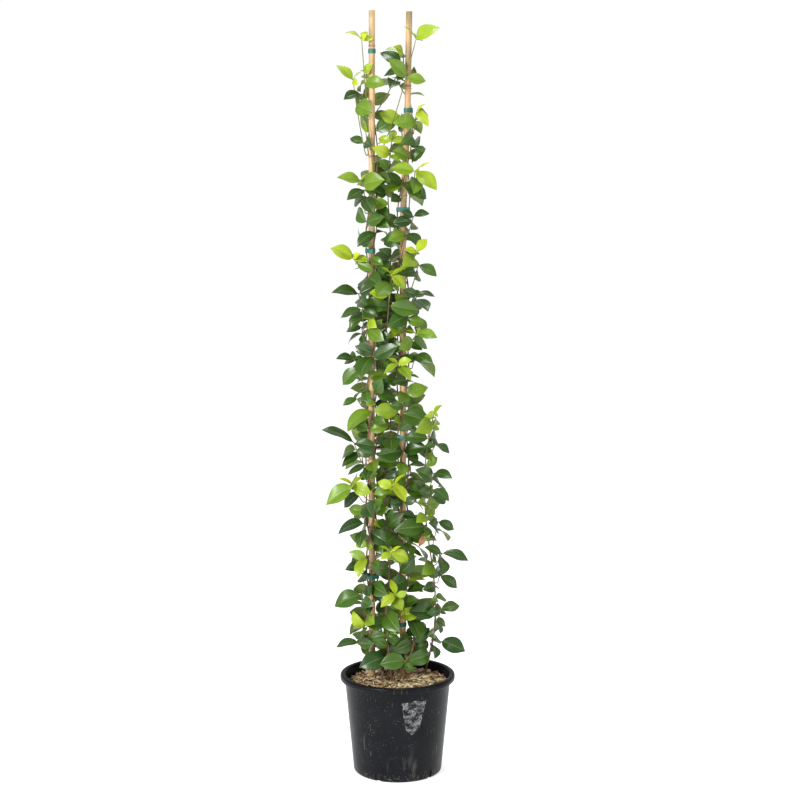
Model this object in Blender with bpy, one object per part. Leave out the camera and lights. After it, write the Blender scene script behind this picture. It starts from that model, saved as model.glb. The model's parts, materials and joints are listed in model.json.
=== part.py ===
"""A star jasmine trained up two bamboo canes in a black nursery pot, in metres, +Z up.

The origin is the middle of the pot's underside. The plant's front faces -Y. The pot holds a root ball with
a layer of wood chips; canes and stems stand in plain holes in both. Each leafy stem is one solid, its leaves
and side shoots grown from it by a seeded rule. The lime-green young shoots are solids of their own.
"""

import math

import bmesh
import bpy
import numpy as np
from mathutils import geometry
from mathutils.bvhtree import BVHTree

# Pot: a standard 7.5 litre nursery container, 24 cm across its rolled rim.
POT_SIDES = 36
POT_HEIGHT = 0.208
RIM_RADIUS = 0.120
RIM_DROP = 0.0115
WALL_TOP_RADIUS = 0.1105
BASE_RADIUS = 0.0925
WALL = 0.0018
FLOOR = 0.0026
HEEL = 0.006
NOTCHES = 5
NOTCH_FIRST_DEG = -116.0
NOTCH_WIDTH = 0.011
NOTCH_HEIGHT = 0.020
NOTCH_REACH = 0.012

# Filling: the root ball, and the chips that cover it.
GAP = 0.0004
SOIL_TOP = 0.178
MULCH_EDGE = 0.186
MULCH_HEAP = 0.008
MULCH_RINGS = 4
MULCH_SIDES = 18
CHIP_COUNT = 8
CHIP_LENGTH = 0.024
CHIP_WIDTH = 0.009
CHIP_THICK = 0.0036
CHIP_CLEAR = 0.019
SOIL_HOLE_SLACK = 0.0009
MULCH_HOLE_SLACK = 0.0012

# Canes: 1.5 m long, their feet pushed into the root ball.
CANE_SIDES = 8
CANE_RADIUS = 0.0068
CANE_THINNING = 0.0004
CANE_FOOT = 0.070
CANE_KNUCKLE = 0.0008
CANE_KNUCKLE_HALF = 0.004

# Leafy stems.
SEED = 32
STEM_SIDES = 4
SHOOT_SIDES = 3
SHOOT_FOOT_RADIUS = 0.0008
BLADE_THICK = 0.0007
SMALL_LEAF = 0.058

# Ties: strips of green tape round a cane and the stems on it.
TIE_HEIGHT = 0.009
TIE_THICK = 0.0008
TIE_SLACK = 0.0004

COLOURS = {
    "black_plastic": ((0.016, 0.017, 0.020), 0.45),
    "root_ball": ((0.030, 0.018, 0.010), 0.95),
    "wood_chips": ((0.42, 0.27, 0.15), 0.85),
    "bamboo": ((0.62, 0.38, 0.17), 0.5),
    "foliage": ((0.045, 0.13, 0.028), 0.4),
    "young_foliage": ((0.33, 0.50, 0.03), 0.4),
    "tape": ((0.015, 0.20, 0.13), 0.5),
}

# The growth rule: everything from here to the end of grow() sets where each stem and leaf is.

# Cane axes as (x, y, z) from foot to top; the right-hand cane bows outwards near its top.
CANES = {
    "left": ((-0.054, 0.040, 0.070), (-0.054, 0.038, 0.80), (-0.0515, 0.032, 1.571)),
    "right": ((0.011, 0.045, 0.070), (0.011, 0.040, 1.15), (0.0205, 0.033, 1.38), (0.0235, 0.028, 1.568)),
}
STEM_RADII = (0.0024, 0.0013)
SHOOT_RADII = (0.0014, 0.0011)
TWINE_RADIUS = CANE_RADIUS + 0.0052
TWINE_PITCH = 0.34
TWINE_START = 0.205
TWINE_BLEND = 0.13
EXTRA_TURN_RISE = 0.28
PATH_STEP = 0.040

# Twining stems as (name, cane, top height, foot x, foot y, extra turn low down in degrees).
TWINING = (
    ("vine_1", "left", 1.475, -0.032, 0.004, 0.0),
    ("vine_2", "left", 1.350, -0.020, 0.018, 95.0),
    ("vine_3", "left", 1.020, -0.034, 0.068, 120.0),
    ("vine_4", "right", 1.500, -0.006, -0.004, 0.0),
    ("vine_5", "right", 1.390, 0.014, 0.006, 120.0),
    ("vine_6", "right", 0.960, 0.006, 0.078, 40.0),
)

# Stems that hold themselves up, as the points that they pass through.
FREE = {
    "vine_7": (
        (-0.014, 0.006, 0.158), (-0.014, 0.006, 0.215), (-0.024, 0.018, 0.32), (-0.016, 0.044, 0.45),
        (-0.028, 0.022, 0.58), (-0.014, 0.040, 0.72), (-0.026, 0.046, 0.86), (-0.018, 0.016, 0.98),
        (-0.014, 0.038, 1.10), (-0.020, 0.030, 1.22), (-0.012, 0.022, 1.31),
    ),
    "vine_8": (
        (0.060, 0.040, 0.158), (0.060, 0.040, 0.205), (0.074, 0.038, 0.265), (0.080, 0.034, 0.34),
        (0.074, 0.026, 0.42), (0.060, 0.016, 0.52), (0.056, 0.012, 0.61), (0.062, 0.014, 0.69),
        (0.078, 0.010, 0.745),
    ),
}

# Side shoots set by hand, as (end x, y, z), (outer leaf's tip x, z) in millimetres, and age: 0 is an old
# dark shoot and 1 a lime one. Each grows from the nearest stem that gives it a clear run.
SHOOTS = (
    ((-72, 22, 1512), (-106, 1524), 1), ((-90, 30, 1432), (-124, 1462), 1),
    ((-74, 34, 1404), (-108, 1392), 0),
    ((37, 18, 1512), (84, 1537), 1), ((8, 14, 1462), (-38, 1488), 0), ((4, 48, 1424), (-27, 1448), 0),
    ((38, 22, 1366), (64, 1340), 1), ((36, 20, 1250), (77, 1210), 1), ((30, 40, 1268), (58, 1296), 0),
    ((-74, 24, 1230), (-123, 1236), 1), ((-68, 16, 1212), (-101, 1190), 0), ((-68, 50, 1306), (-98, 1318), 0),
    ((32, 26, 1158), (66, 1162), 0), ((-90, 26, 1072), (-138, 1092), 1), ((-80, 30, 1000), (-136, 1006), 0),
    ((-72, 16, 968), (-117, 952), 0), ((38, 14, 1086), (62, 1112), 1), ((42, 24, 1060), (80, 1036), 0),
    ((40, 30, 998), (78, 992), 0), ((38, 18, 918), (82, 912), 1), ((-74, 46, 930), (-106, 920), 0),
    ((-92, 28, 868), (-126, 866), 0), ((36, 40, 872), (72, 856), 0), ((-78, 20, 850), (-113, 812), 0),
    ((-84, 34, 782), (-114, 770), 0), ((-90, 20, 692), (-156, 720), 0), ((-76, 48, 668), (-117, 636), 0),
    ((74, 6, 752), (92, 774), 1), ((78, 12, 690), (108, 672), 0), ((76, 24, 627), (114, 622), 0),
    ((72, 2, 598), (106, 574), 0), ((-92, 22, 602), (-150, 562), 1), ((-76, 44, 583), (-111, 548), 0),
    ((-68, 14, 523), (-124, 500), 0), ((92, 14, 460), (148, 440), 0), ((84, 32, 523), (118, 504), 0),
    ((88, 24, 410), (123, 381), 0), ((-76, 20, 371), (-131, 341), 0), ((-78, 44, 428), (-111, 420), 0),
    ((90, 30, 334), (132, 338), 0), ((90, 24, 268), (142, 250), 0), ((-82, 30, 262), (-130, 252), 0),
    ((-10, -22, 610), (18, 580), 1), ((-14, -24, 470), (22, 452), 1), ((-4, -26, 380), (-34, 356), 1),
    ((2, -10, 860), (-28, 838), 1), ((-12, -12, 1040), (14, 1012), 1),
)
TAPED = (("left", 1.490), ("left", 1.088), ("left", 0.405), ("right", 1.372), ("right", 1.262),
         ("right", 1.172), ("right", 0.700), ("right", 0.300))

# Leaves, the middle of the column that they fill, and the clearance kept round each of them.
NODE_SPACING = 0.094
LEAF_LENGTH = 0.065
LEAF_ASPECT = 0.60
AGES = (0.05, 0.12, 0.22, 0.34, 0.55)
AGE_SHARES = (0.3, 0.25, 0.2, 0.15, 0.10)
COLUMN = (-0.016, 0.038)
TRIES = 16
GUARD = 0.0013
SHOOT_GAP = 0.0006
# How far the leaves reach from the pot's axis, at heights from the soil to the top.
REACH_AT = (0.20, 0.30, 0.45, 0.65, 0.85, 1.10, 1.35, 1.60)
REACH_LEFT = (-0.090, -0.112, -0.116, -0.116, -0.104, -0.090, -0.084, -0.075)
REACH_RIGHT = (0.100, 0.104, 0.112, 0.100, 0.076, 0.066, 0.056, 0.060)
REACH_FRONT = (-0.075, -0.080, -0.080, -0.070, -0.055, -0.045, -0.035, -0.030)
REACH_BACK = (0.110, 0.120, 0.125, 0.120, 0.110, 0.100, 0.085, 0.070)
LEAF_ROWS = (0.03, 0.14, 0.32, 0.66, 1.0)
LEAF_ROW_WIDTHS = (0.08, 0.42, 0.92, 0.88, 0.0)


def unit(vector):
    return vector / np.linalg.norm(vector)


def cane_axis(cane, z):
    """The cane's centre at height z, between the points that it passes through."""
    points = np.array(CANES[cane])
    return np.array([np.interp(z, points[:, 2], points[:, 0]), np.interp(z, points[:, 2], points[:, 1]), z])


def smooth_step(value):
    share = np.clip(value, 0, 1)
    return share * share * (3 - 2 * share)


def twining_path(cane, top, foot_x, foot_y, extra):
    """A foot in the soil, then a helix that closes in on the cane as it climbs."""
    heights = np.append(SOIL_TOP - 0.020, np.arange(TWINE_START, top, PATH_STEP))
    points = []
    for z in heights:
        axis = cane_axis(cane, max(z, SOIL_TOP))
        offset = np.array([foot_x, foot_y]) - cane_axis(cane, SOIL_TOP)[:2]
        climb = max(z - TWINE_START, 0)
        angle = math.atan2(offset[1], offset[0]) + 2 * math.pi * climb / TWINE_PITCH
        angle += math.radians(extra) * smooth_step(climb / EXTRA_TURN_RISE)
        share = smooth_step(climb / TWINE_BLEND)
        radius = (1 - share) * np.hypot(*offset) + share * TWINE_RADIUS
        points.append((axis[0] + radius * math.cos(angle), axis[1] + radius * math.sin(angle), z))
    return np.array(points)


def smooth_path(points):
    """A Catmull-Rom curve through the points, cut into even steps."""
    points = np.array(points, float)
    padded = np.vstack([2 * points[0] - points[1], points, 2 * points[-1] - points[-2]])
    t = np.linspace(0, 1, 12, endpoint=False)[:, None]
    runs = []
    for a, b, c, d in zip(padded, padded[1:], padded[2:], padded[3:]):
        squared = (2 * a - 5 * b + 4 * c - d) * t**2
        cubed = (3 * b - a - 3 * c + d) * t**3
        runs.append(0.5 * (2 * b + (c - a) * t + squared + cubed))
    curve = np.vstack([*runs, points[-1:]])
    along = np.concatenate([[0], np.cumsum(np.linalg.norm(np.diff(curve, axis=0), axis=1))])
    even = np.linspace(0, along[-1], max(3, round(along[-1] / PATH_STEP) + 1))
    return np.stack([np.interp(even, along, curve[:, k]) for k in range(3)], axis=1)


def blade_axes(heading, facing):
    """The blade's side and upper-face directions: as near as they can be to facing."""
    side = unit(np.cross(facing, heading))
    return side, np.cross(heading, side)


def blade_point(leaf, u, v, width, lift):
    """A point of the arched, folded blade: u from root to tip, v across, lift off its face."""
    bend = leaf["bend"]
    turn = bend * u
    heading, up = leaf["heading"], leaf["up"]
    middle = leaf["root"] + leaf["length"] / bend * (math.sin(turn) * heading - (1 - math.cos(turn)) * up)
    normal = up * math.cos(turn) + heading * math.sin(turn)
    spread, raised = v * width * math.cos(leaf["fold"]), abs(v) * width * math.sin(leaf["fold"])
    across = spread * leaf["side"] + raised * normal
    return middle + across + lift * normal


def guard_tree(leaf, first):
    """A search tree of a shell a little larger than the blade, from the given row to the tip."""
    points = []
    for lift in (GUARD, -GUARD):
        for u, share in zip(LEAF_ROWS[first:], LEAF_ROW_WIDTHS[first:]):
            width = share * leaf["width"] / 2 + GUARD
            points += [blade_point(leaf, u, v, width, lift) for v in (-1, 0, 1)]
    rows = len(LEAF_ROWS) - first
    faces = []
    for layer in (0, 3 * rows):
        for row in range(rows - 1):
            for k in (0, 1):
                a = layer + 3 * row + k
                faces.append((a, a + 1, a + 4, a + 3))
    faces += [(3 * r + k, 3 * r + k + 3, 3 * (rows + r) + k + 3, 3 * (rows + r) + k)
              for r in range(rows - 1) for k in (0, 2)]
    return BVHTree.FromPolygons([list(p) for p in points], faces), np.array(points)


def ring_faces(rings, sides):
    """Four-sided faces between rings of points that follow each other."""
    faces = []
    for ring in range(rings - 1):
        for k in range(sides):
            a, b = ring * sides + k, ring * sides + (k + 1) % sides
            faces.append((a, b, b + sides, a + sides))
    return faces


def tube_tree(path, radius):
    """A search tree of an eight-sided tube along the path."""
    path, sides = np.asarray(path), 8
    run = np.gradient(path, axis=0)
    first = np.cross(run, (0.31, 0.95, 0.02))
    first /= np.linalg.norm(first, axis=1)[:, None]
    second = np.cross(run, first)
    second /= np.linalg.norm(second, axis=1)[:, None]
    angles = (2 * math.pi * np.arange(sides) / sides)[:, None]
    rings = np.cos(angles) * first[:, None, :] + np.sin(angles) * second[:, None, :]
    points = (path[:, None, :] + 1.08 * radius * rings).reshape(-1, 3)
    return BVHTree.FromPolygons([list(p) for p in points], ring_faces(len(path), sides))


def in_reach(points, slack):
    """True where no point leaves the column that the foliage fills, or comes near the chips or the rim."""
    x, y, z = points.T
    left, right = np.interp(z, REACH_AT, REACH_LEFT), np.interp(z, REACH_AT, REACH_RIGHT)
    front, back = np.interp(z, REACH_AT, REACH_FRONT), np.interp(z, REACH_AT, REACH_BACK)
    inside = (x > left - slack) & (x < right + slack) & (y > front - slack) & (y < back + slack)
    return bool(inside.all() and (z > 0.204).all() and ((z > 0.216) | (np.hypot(x, y) < 0.092)).all())


def place_leaf(world, stem, leaf, slack=0.0):
    """Adds the leaf unless its guard leaves the column or meets a cane, a tie, a stem or a leaf."""
    tree, points = guard_tree(leaf, 0)
    if not in_reach(points, slack):
        return False
    outer = guard_tree(leaf, 1)[0]
    centre = points.mean(axis=0)
    for name, other in world["tubes"]:
        if name != stem["name"] and tree.overlap(other):
            return False
    for root, other_centre, other_tree, other_outer in world["leaves"]:
        if np.linalg.norm(other_centre - centre) < 0.085:
            twin = np.linalg.norm(root - leaf["root"]) < 0.004
            if outer.overlap(other_outer) if twin else tree.overlap(other_tree):
                return False
    world["leaves"].append((leaf["root"], centre, tree, outer))
    stem["leaves"].append(leaf)
    return True


def pointing(turn, rise):
    """The direction at this angle about Z and this angle above the level."""
    return np.array([math.cos(rise) * math.cos(turn), math.cos(rise) * math.sin(turn), math.sin(rise)])


def new_leaf(root, heading, facing, length, bend, age, rng):
    side, up = blade_axes(heading, facing)
    return {"root": root, "heading": heading, "side": side, "up": up, "length": length, "bend": bend,
            "width": length * LEAF_ASPECT * rng.uniform(0.88, 1.1), "fold": rng.uniform(0.10, 0.34),
            "age": age, "seed": rng.randint(1000)}


def leaf_pair(world, stem, root, azimuths, length, age, rng, slack=0.0):
    """Two opposite leaves at one joint; each tries again, turned and shortened, until it finds room."""
    for azimuth, shift in zip(azimuths, (-0.0006, 0.0006)):
        for attempt in range(TRIES):
            spread = 0.25 + 0.06 * attempt
            turn = azimuth + rng.uniform(-spread, spread)
            rise = rng.uniform(-0.25, 0.60)
            heading = pointing(turn, rise)
            out = (root + 0.03 * heading)[:2] - COLUMN
            front = 1.4 * np.clip(out[1] / 0.02 - 0.35, -1, 1)
            facing = unit(np.array([12 * out[0], front, rng.uniform(0.25, 0.9)]) + rng.uniform(-0.3, 0.3, 3))
            if abs(facing @ heading) > 0.93:
                continue
            size = length * rng.uniform(0.85, 1.15) * (1 - 0.02 * attempt)
            leaf = new_leaf(root + (0, 0, shift), heading, facing, size, rng.uniform(0.35, 1.35), age, rng)
            if place_leaf(world, stem, leaf, slack):
                break


def outer_leaf(root, tip, age, rng):
    """A leaf from root to a tip that is set by hand: its chord is given, and it arches above it."""
    chord = tip - root
    bend = rng.uniform(0.45, 1.15)
    facing = unit(np.array([rng.uniform(-0.2, 0.2), rng.uniform(-1.5, -0.4), 1.0]))
    side, up = blade_axes(unit(chord), facing)
    heading = math.cos(bend / 2) * unit(chord) + math.sin(bend / 2) * up
    length = np.linalg.norm(chord) * (bend / 2) / math.sin(bend / 2)
    return new_leaf(root, heading, facing, length, bend, age, rng)


def shoot_path(start, run, end, bark):
    """A side shoot: square out from the stem, then up. A young one starts clear of the bark.

    bark is the radius to the corners of the four-sided stem, whose sides are nearer than that.
    """
    away = end - start
    away = unit(away - (away @ run) * run)
    clear = 0.0
    if bark:
        first = unit(np.cross(run, (0.31, 0.95, 0.02)))
        turn = math.atan2(away @ np.cross(run, first), away @ first)
        off_flat = (turn + math.pi / 4) % (math.pi / 2) - math.pi / 4
        clear = bark * math.cos(math.pi / 4) / math.cos(off_flat) + SHOOT_GAP
    base = start + 0.007 * away
    middle = 0.55 * base + 0.45 * end
    middle[2] = base[2] + 0.3 * (end[2] - base[2])
    t = np.array([0, 0.4, 0.75, 1.0])[:, None]
    curve = (1 - t) ** 2 * base + 2 * t * (1 - t) * middle + t**2 * end
    return np.vstack([start + clear * away, curve])


def best_shoot(world, stems, end, young):
    """The shortest side shoot to the end point that runs clear of canes, ties, stems and leaves."""
    options = []
    for stem in stems:
        if stem["parent"] is None:
            for i in range(3, len(stem["path"]) - 1):
                if taped(stem, stem["path"][i][2]):
                    continue
                gap = np.linalg.norm(stem["path"][i] - (end - (0, 0, 0.030)))
                options.append((gap, len(options), stem, i))
    for _, _, parent, i in sorted(options)[:24]:
        run = unit(parent["path"][i + 1] - parent["path"][i - 1])
        radius = np.interp(i, (0, len(parent["path"]) - 1), STEM_RADII)
        path = shoot_path(parent["path"][i], run, end, radius if young else None)
        tree = tube_tree(path[1:], 0.0022)
        first = tube_tree(path[:2], 0.0011)
        others = [other for name, other in world["tubes"] if name != parent["name"]]
        others += [other for _, _, other, _ in world["leaves"]]
        own = dict(world["tubes"])[parent["name"]]
        if not tree.overlap(own) and not any(tree.overlap(other) or first.overlap(other) for other in others):
            return parent, path
    return None, None


def add_shoot(world, stems, number, end, tip, age, rng):
    """A side shoot to a point set by hand, with an outer leaf, its partner and a pair lower down."""
    end = np.array(end) / 1000.0
    parent, path = best_shoot(world, stems, end, age)
    if parent is None:
        return
    stem = {"name": f"shoot_{number:02d}", "parent": parent["name"], "path": path,
            "radius": SHOOT_RADII, "leaves": [], "age": age}
    stems.append(stem)
    world["tubes"].append((stem["name"], tube_tree(stem["path"], SHOOT_RADII[0])))
    ripeness = 0.62 + 0.3 * rng.rand() if age else 0.25 * rng.rand()
    for attempt in range(TRIES):
        leaf_tip = np.array([tip[0] / 1000.0, end[1] + rng.uniform(-0.030, 0.015), tip[1] / 1000.0])
        leaf_tip += attempt * rng.uniform(-0.0006, 0.0006, 3)
        leaf = outer_leaf(end, leaf_tip, ripeness, rng)
        if place_leaf(world, stem, leaf, slack=0.06):
            break
    start = path[0]
    outward = math.atan2(leaf["heading"][1], leaf["heading"][0])
    partner = 0.75 * min(leaf["length"], LEAF_LENGTH)
    leaf_pair(world, stem, end, [outward + math.pi + 0.9 * rng.choice((-1, 1))], partner, ripeness, rng, 0.02)
    if np.linalg.norm(end - start) > 0.030:
        lower = stem["path"][-2]
        azimuths = [outward + 1.3, outward - 1.3]
        leaf_pair(world, stem, lower, azimuths, 0.85 * LEAF_LENGTH, 0.7 * ripeness, rng, 0.01)
    if age:
        bud = end + 0.001 * unit(path[-1] - path[-2])
        leaf_pair(world, stem, bud, [outward + 1.2], 0.024, 0.97, rng, 0.03)


def taped(stem, z):
    """True where a tie goes round the stem, so that nothing can grow out of it."""
    return any(stem["cane"] == cane and abs(z - tie) < 0.011 for cane, tie in TAPED)


def dress_stem(world, stem, rng):
    """Opposite pairs of leaves up the stem, each pair turned a quarter from the last."""
    path = stem["path"]
    along = np.concatenate([[0], np.cumsum(np.linalg.norm(np.diff(path, axis=0), axis=1))])
    places = np.arange(0.055 + 0.03 * rng.rand(), along[-1], NODE_SPACING)
    quarter = rng.uniform(0, math.pi)
    for count, place in enumerate([*places, along[-1]]):
        root = np.array([np.interp(place, along, path[:, k]) for k in range(3)])
        if taped(stem, root[2]):
            continue
        height = (root[2] - SOIL_TOP) / 1.35
        age = min(1.0, rng.choice(AGES, p=AGE_SHARES) + 0.12 * height)
        length = LEAF_LENGTH * (1.06 - 0.20 * height)
        if stem["cane"]:
            away = root - cane_axis(stem["cane"], root[2])
            outward = math.atan2(away[1], away[0])
            spread = 0.95 if count % 2 else 1.5
            azimuths = [outward + spread, outward - spread]
        else:
            quarter += math.pi / 2
            azimuths = [quarter, quarter + math.pi]
        if place == along[-1]:
            age, length = 0.8, 0.036
        leaf_pair(world, stem, root, azimuths, length, age, rng)


def grow():
    """Every stem with its leaves: twining stems, free stems, then side shoots, then leaves on all."""
    rng = np.random.RandomState(SEED)
    stems = [{"name": name, "cane": cane, "parent": None, "path": twining_path(cane, *shape),
              "radius": STEM_RADII, "leaves": [], "age": 0} for name, cane, *shape in TWINING]
    stems += [{"name": name, "cane": None, "parent": None, "path": smooth_path(points),
               "radius": STEM_RADII, "leaves": [], "age": 0} for name, points in FREE.items()]
    world = {"tubes": [(stem["name"], tube_tree(stem["path"], 0.0022)) for stem in stems], "leaves": []}
    for cane in CANES:
        axis = [cane_axis(cane, z) for z in np.arange(0.16, 1.59, 0.04)]
        world["tubes"].append((cane, tube_tree(axis, CANE_RADIUS)))
    for cane, z in TAPED:
        ends = [cane_axis(cane, z - 0.006), cane_axis(cane, z + 0.006)]
        world["tubes"].append((f"tie {z}", tube_tree(ends, 0.0165)))
    main = list(stems)
    for number, (end, tip, age) in enumerate(SHOOTS, 1):
        add_shoot(world, stems, number, end, tip, age, rng)
    for stem in main:
        dress_stem(world, stem, rng)
    return stems, world


# From here on: the solids.


def material(name):
    found = bpy.data.materials.get(name)
    if found:
        return found
    (red, green, blue), rough = COLOURS[name]
    made = bpy.data.materials.new(name)
    made.use_nodes = True
    shader = made.node_tree.nodes["Principled BSDF"]
    shader.inputs["Base Color"].default_value = (red, green, blue, 1)
    shader.inputs["Roughness"].default_value = rough
    shader.inputs["Metallic"].default_value = 0.0
    return made


def solid(name, points, faces, colour, smooth=False):
    """An object from points and faces, its normals made consistent and pointing out."""
    mesh = bpy.data.meshes.new(name)
    mesh.from_pydata([list(map(float, p)) for p in points], [], faces)
    shape = bmesh.new()
    shape.from_mesh(mesh)
    bmesh.ops.recalc_face_normals(shape, faces=shape.faces)
    bmesh.ops.triangulate(shape, faces=shape.faces)
    shape.to_mesh(mesh)
    shape.free()
    made = bpy.data.objects.new(name, mesh)
    bpy.context.scene.collection.objects.link(made)
    mesh.materials.append(material(colour))
    if smooth:
        mesh.shade_smooth()
        mesh.set_sharp_from_angle(angle=math.radians(35))
    return made


def turned(name, profile, sides, colour):
    """A closed solid of revolution about Z, with a flat disc at each end of its profile."""
    angles = 2 * math.pi * np.arange(sides) / sides
    points = [(radius * math.cos(a), radius * math.sin(a), z) for radius, z in profile for a in angles]
    faces = [tuple(range(sides)), tuple(range(len(points) - 1, len(points) - 1 - sides, -1))]
    faces += ring_faces(len(profile), sides)
    return solid(name, points, faces, colour, smooth=True)


def tube(name, path, radii, sides, colour):
    """A closed tube of few sides along a path, with flat ends; its rings lie square to the path."""
    path = np.asarray(path)
    along = np.gradient(path, axis=0)
    points = []
    for centre, run, radius in zip(path, along, radii):
        run = unit(run)
        first = unit(np.cross(run, (0.31, 0.95, 0.02)))
        second = np.cross(run, first)
        angles = 2 * math.pi * (np.arange(sides) + 0.5) / sides
        points += [centre + radius * (math.cos(a) * first + math.sin(a) * second) for a in angles]
    faces = [tuple(range(sides)), tuple(range(len(points) - 1, len(points) - 1 - sides, -1))]
    faces += ring_faces(len(path), sides)
    return solid(name, points, faces, colour)


def leaf_blade(name, leaf, colour):
    """A closed arched blade, folded along its middle; its root lies inside the stem.

    Its outline is six-sided on a full leaf and four-sided on a small one, with the same triangles on
    its upper and lower faces.
    """
    if leaf["length"] > SMALL_LEAF:
        outline = ((0, 0), (0.28, -0.88), (0.28, 0.88), (0.50, 0), (0.66, -0.82), (0.66, 0.82), (1, 0))
        tops = ((0, 1, 2), (1, 3, 2), (1, 4, 3), (3, 5, 2), (4, 5, 3), (4, 6, 5))
        rim = (0, 1, 4, 6, 5, 2)
    else:
        outline = ((0, 0), (0.42, -1), (0.42, 1), (0.66, 0), (1, 0))
        tops = ((0, 1, 2), (1, 3, 2), (1, 4, 3), (3, 4, 2))
        rim = (0, 1, 4, 2)
    half, width = BLADE_THICK / 2, leaf["width"] / 2
    points = [blade_point(leaf, u, np.sign(v), abs(v) * width, lift)
              for u, v in outline for lift in (half, -half)]
    faces = [tuple(2 * k + low for k in face) for face in tops for low in (0, 1)]
    faces += [(2 * a, 2 * b, 2 * b + 1, 2 * a + 1) for a, b in zip(rim, (*rim[1:], rim[0]))]
    return solid(name, points, faces, colour)


def boolean(target, operation, others, solver):
    """Joins or cuts the target with all the others at once, applies it, and removes them."""
    group = bpy.data.collections.new("tools")
    bpy.context.scene.collection.children.link(group)
    for other in others:
        for owner in list(other.users_collection):
            owner.objects.unlink(other)
        group.objects.link(other)
    step = target.modifiers.new(operation.lower(), "BOOLEAN")
    step.operation = operation
    step.operand_type = "COLLECTION"
    step.collection = group
    step.solver = solver
    bpy.context.view_layer.update()
    graph = bpy.context.evaluated_depsgraph_get()
    made = bpy.data.meshes.new_from_object(target.evaluated_get(graph))
    target.modifiers.clear()
    target.data = made
    for other in others:
        bpy.data.objects.remove(other)
    bpy.data.collections.remove(group)


def wall_radius(z):
    """The pot's inner radius at height z."""
    share = (z - HEEL) / (POT_HEIGHT - RIM_DROP - HEEL)
    return BASE_RADIUS + share * (WALL_TOP_RADIUS - BASE_RADIUS) - WALL


def make_pot():
    under_rim = POT_HEIGHT - RIM_DROP
    profile = (
        (BASE_RADIUS - 0.0040, 0), (BASE_RADIUS, HEEL), (WALL_TOP_RADIUS, under_rim),
        (RIM_RADIUS - 0.0015, under_rim + 0.0004), (RIM_RADIUS, under_rim + 0.0030),
        (RIM_RADIUS - 0.0004, POT_HEIGHT - 0.0036), (RIM_RADIUS - 0.0035, POT_HEIGHT - 0.0005),
        (WALL_TOP_RADIUS + 0.0020, POT_HEIGHT), (WALL_TOP_RADIUS - WALL + 0.0004, POT_HEIGHT - 0.0040),
        (wall_radius(FLOOR) - 0.001, FLOOR),
    )
    pot = turned("pot", profile, POT_SIDES, "black_plastic")
    cutters = []
    for number in range(NOTCHES):
        angle = math.radians(NOTCH_FIRST_DEG + 360 / NOTCHES * number)
        middle = BASE_RADIUS - NOTCH_REACH / 2 + 0.004
        cutters.append(block(
            "notch", (middle * math.cos(angle), middle * math.sin(angle), NOTCH_HEIGHT / 2 - 0.002),
            (NOTCH_REACH, NOTCH_WIDTH, NOTCH_HEIGHT + 0.004), angle, "black_plastic"))
    boolean(pot, "DIFFERENCE", cutters, "EXACT")
    pot.data.shade_smooth()
    pot.data.set_sharp_from_angle(angle=math.radians(35))


def block(name, centre, size, turn, colour, tilt=0.0):
    """A box of the given size, tilted about its own Y and then turned about Z."""
    cos_turn, sin_turn, cos_tilt, sin_tilt = math.cos(turn), math.sin(turn), math.cos(tilt), math.sin(tilt)
    points = []
    for a in (-0.5, 0.5):
        for b in (-0.5, 0.5):
            for c in (-0.5, 0.5):
                x, y, z = a * size[0], b * size[1], c * size[2]
                x, z = x * cos_tilt + z * sin_tilt, z * cos_tilt - x * sin_tilt
                points.append((centre[0] + x * cos_turn - y * sin_turn,
                               centre[1] + x * sin_turn + y * cos_turn, centre[2] + z))
    faces = [(0, 1, 3, 2), (4, 6, 7, 5), (0, 4, 5, 1), (2, 3, 7, 6), (0, 2, 6, 4), (1, 5, 7, 3)]
    return solid(name, points, faces, colour)


def planting_holes(stems, extra):
    """Plain round holes for both canes and for the foot of each stem."""
    holes = []
    for cane in CANES:
        path = [cane_axis(cane, z) for z in (CANE_FOOT - GAP, 0.24)]
        holes.append(tube("hole", path, [CANE_RADIUS + extra] * 2, 12, "root_ball"))
    for stem in stems:
        if stem["parent"] is None:
            foot = stem["path"][0]
            path = [foot - (0, 0, GAP), foot + (0, 0, 0.060)]
            holes.append(tube("hole", path, [STEM_RADII[0] + extra] * 2, 6, "root_ball"))
    return holes


def make_soil(stems):
    low = FLOOR + GAP
    profile = ((wall_radius(FLOOR) - 0.001 - GAP, low), (wall_radius(SOIL_TOP) - GAP - 0.0008, SOIL_TOP))
    soil = turned("soil", profile, POT_SIDES, "root_ball")
    boolean(soil, "DIFFERENCE", planting_holes(stems, SOIL_HOLE_SLACK), "EXACT")


def mulch_height(x, y):
    """The chips' height: heaped at the right, and scooped out in the middle, where stems come up."""
    heap = MULCH_HEAP * math.exp(-((x - 0.050) ** 2 + (y - 0.010) ** 2) / 0.0022)
    scoop = 0.0045 * math.exp(-((x + 0.004) ** 2 + (y - 0.004) ** 2) / 0.0005)
    return MULCH_EDGE + heap - scoop


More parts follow.
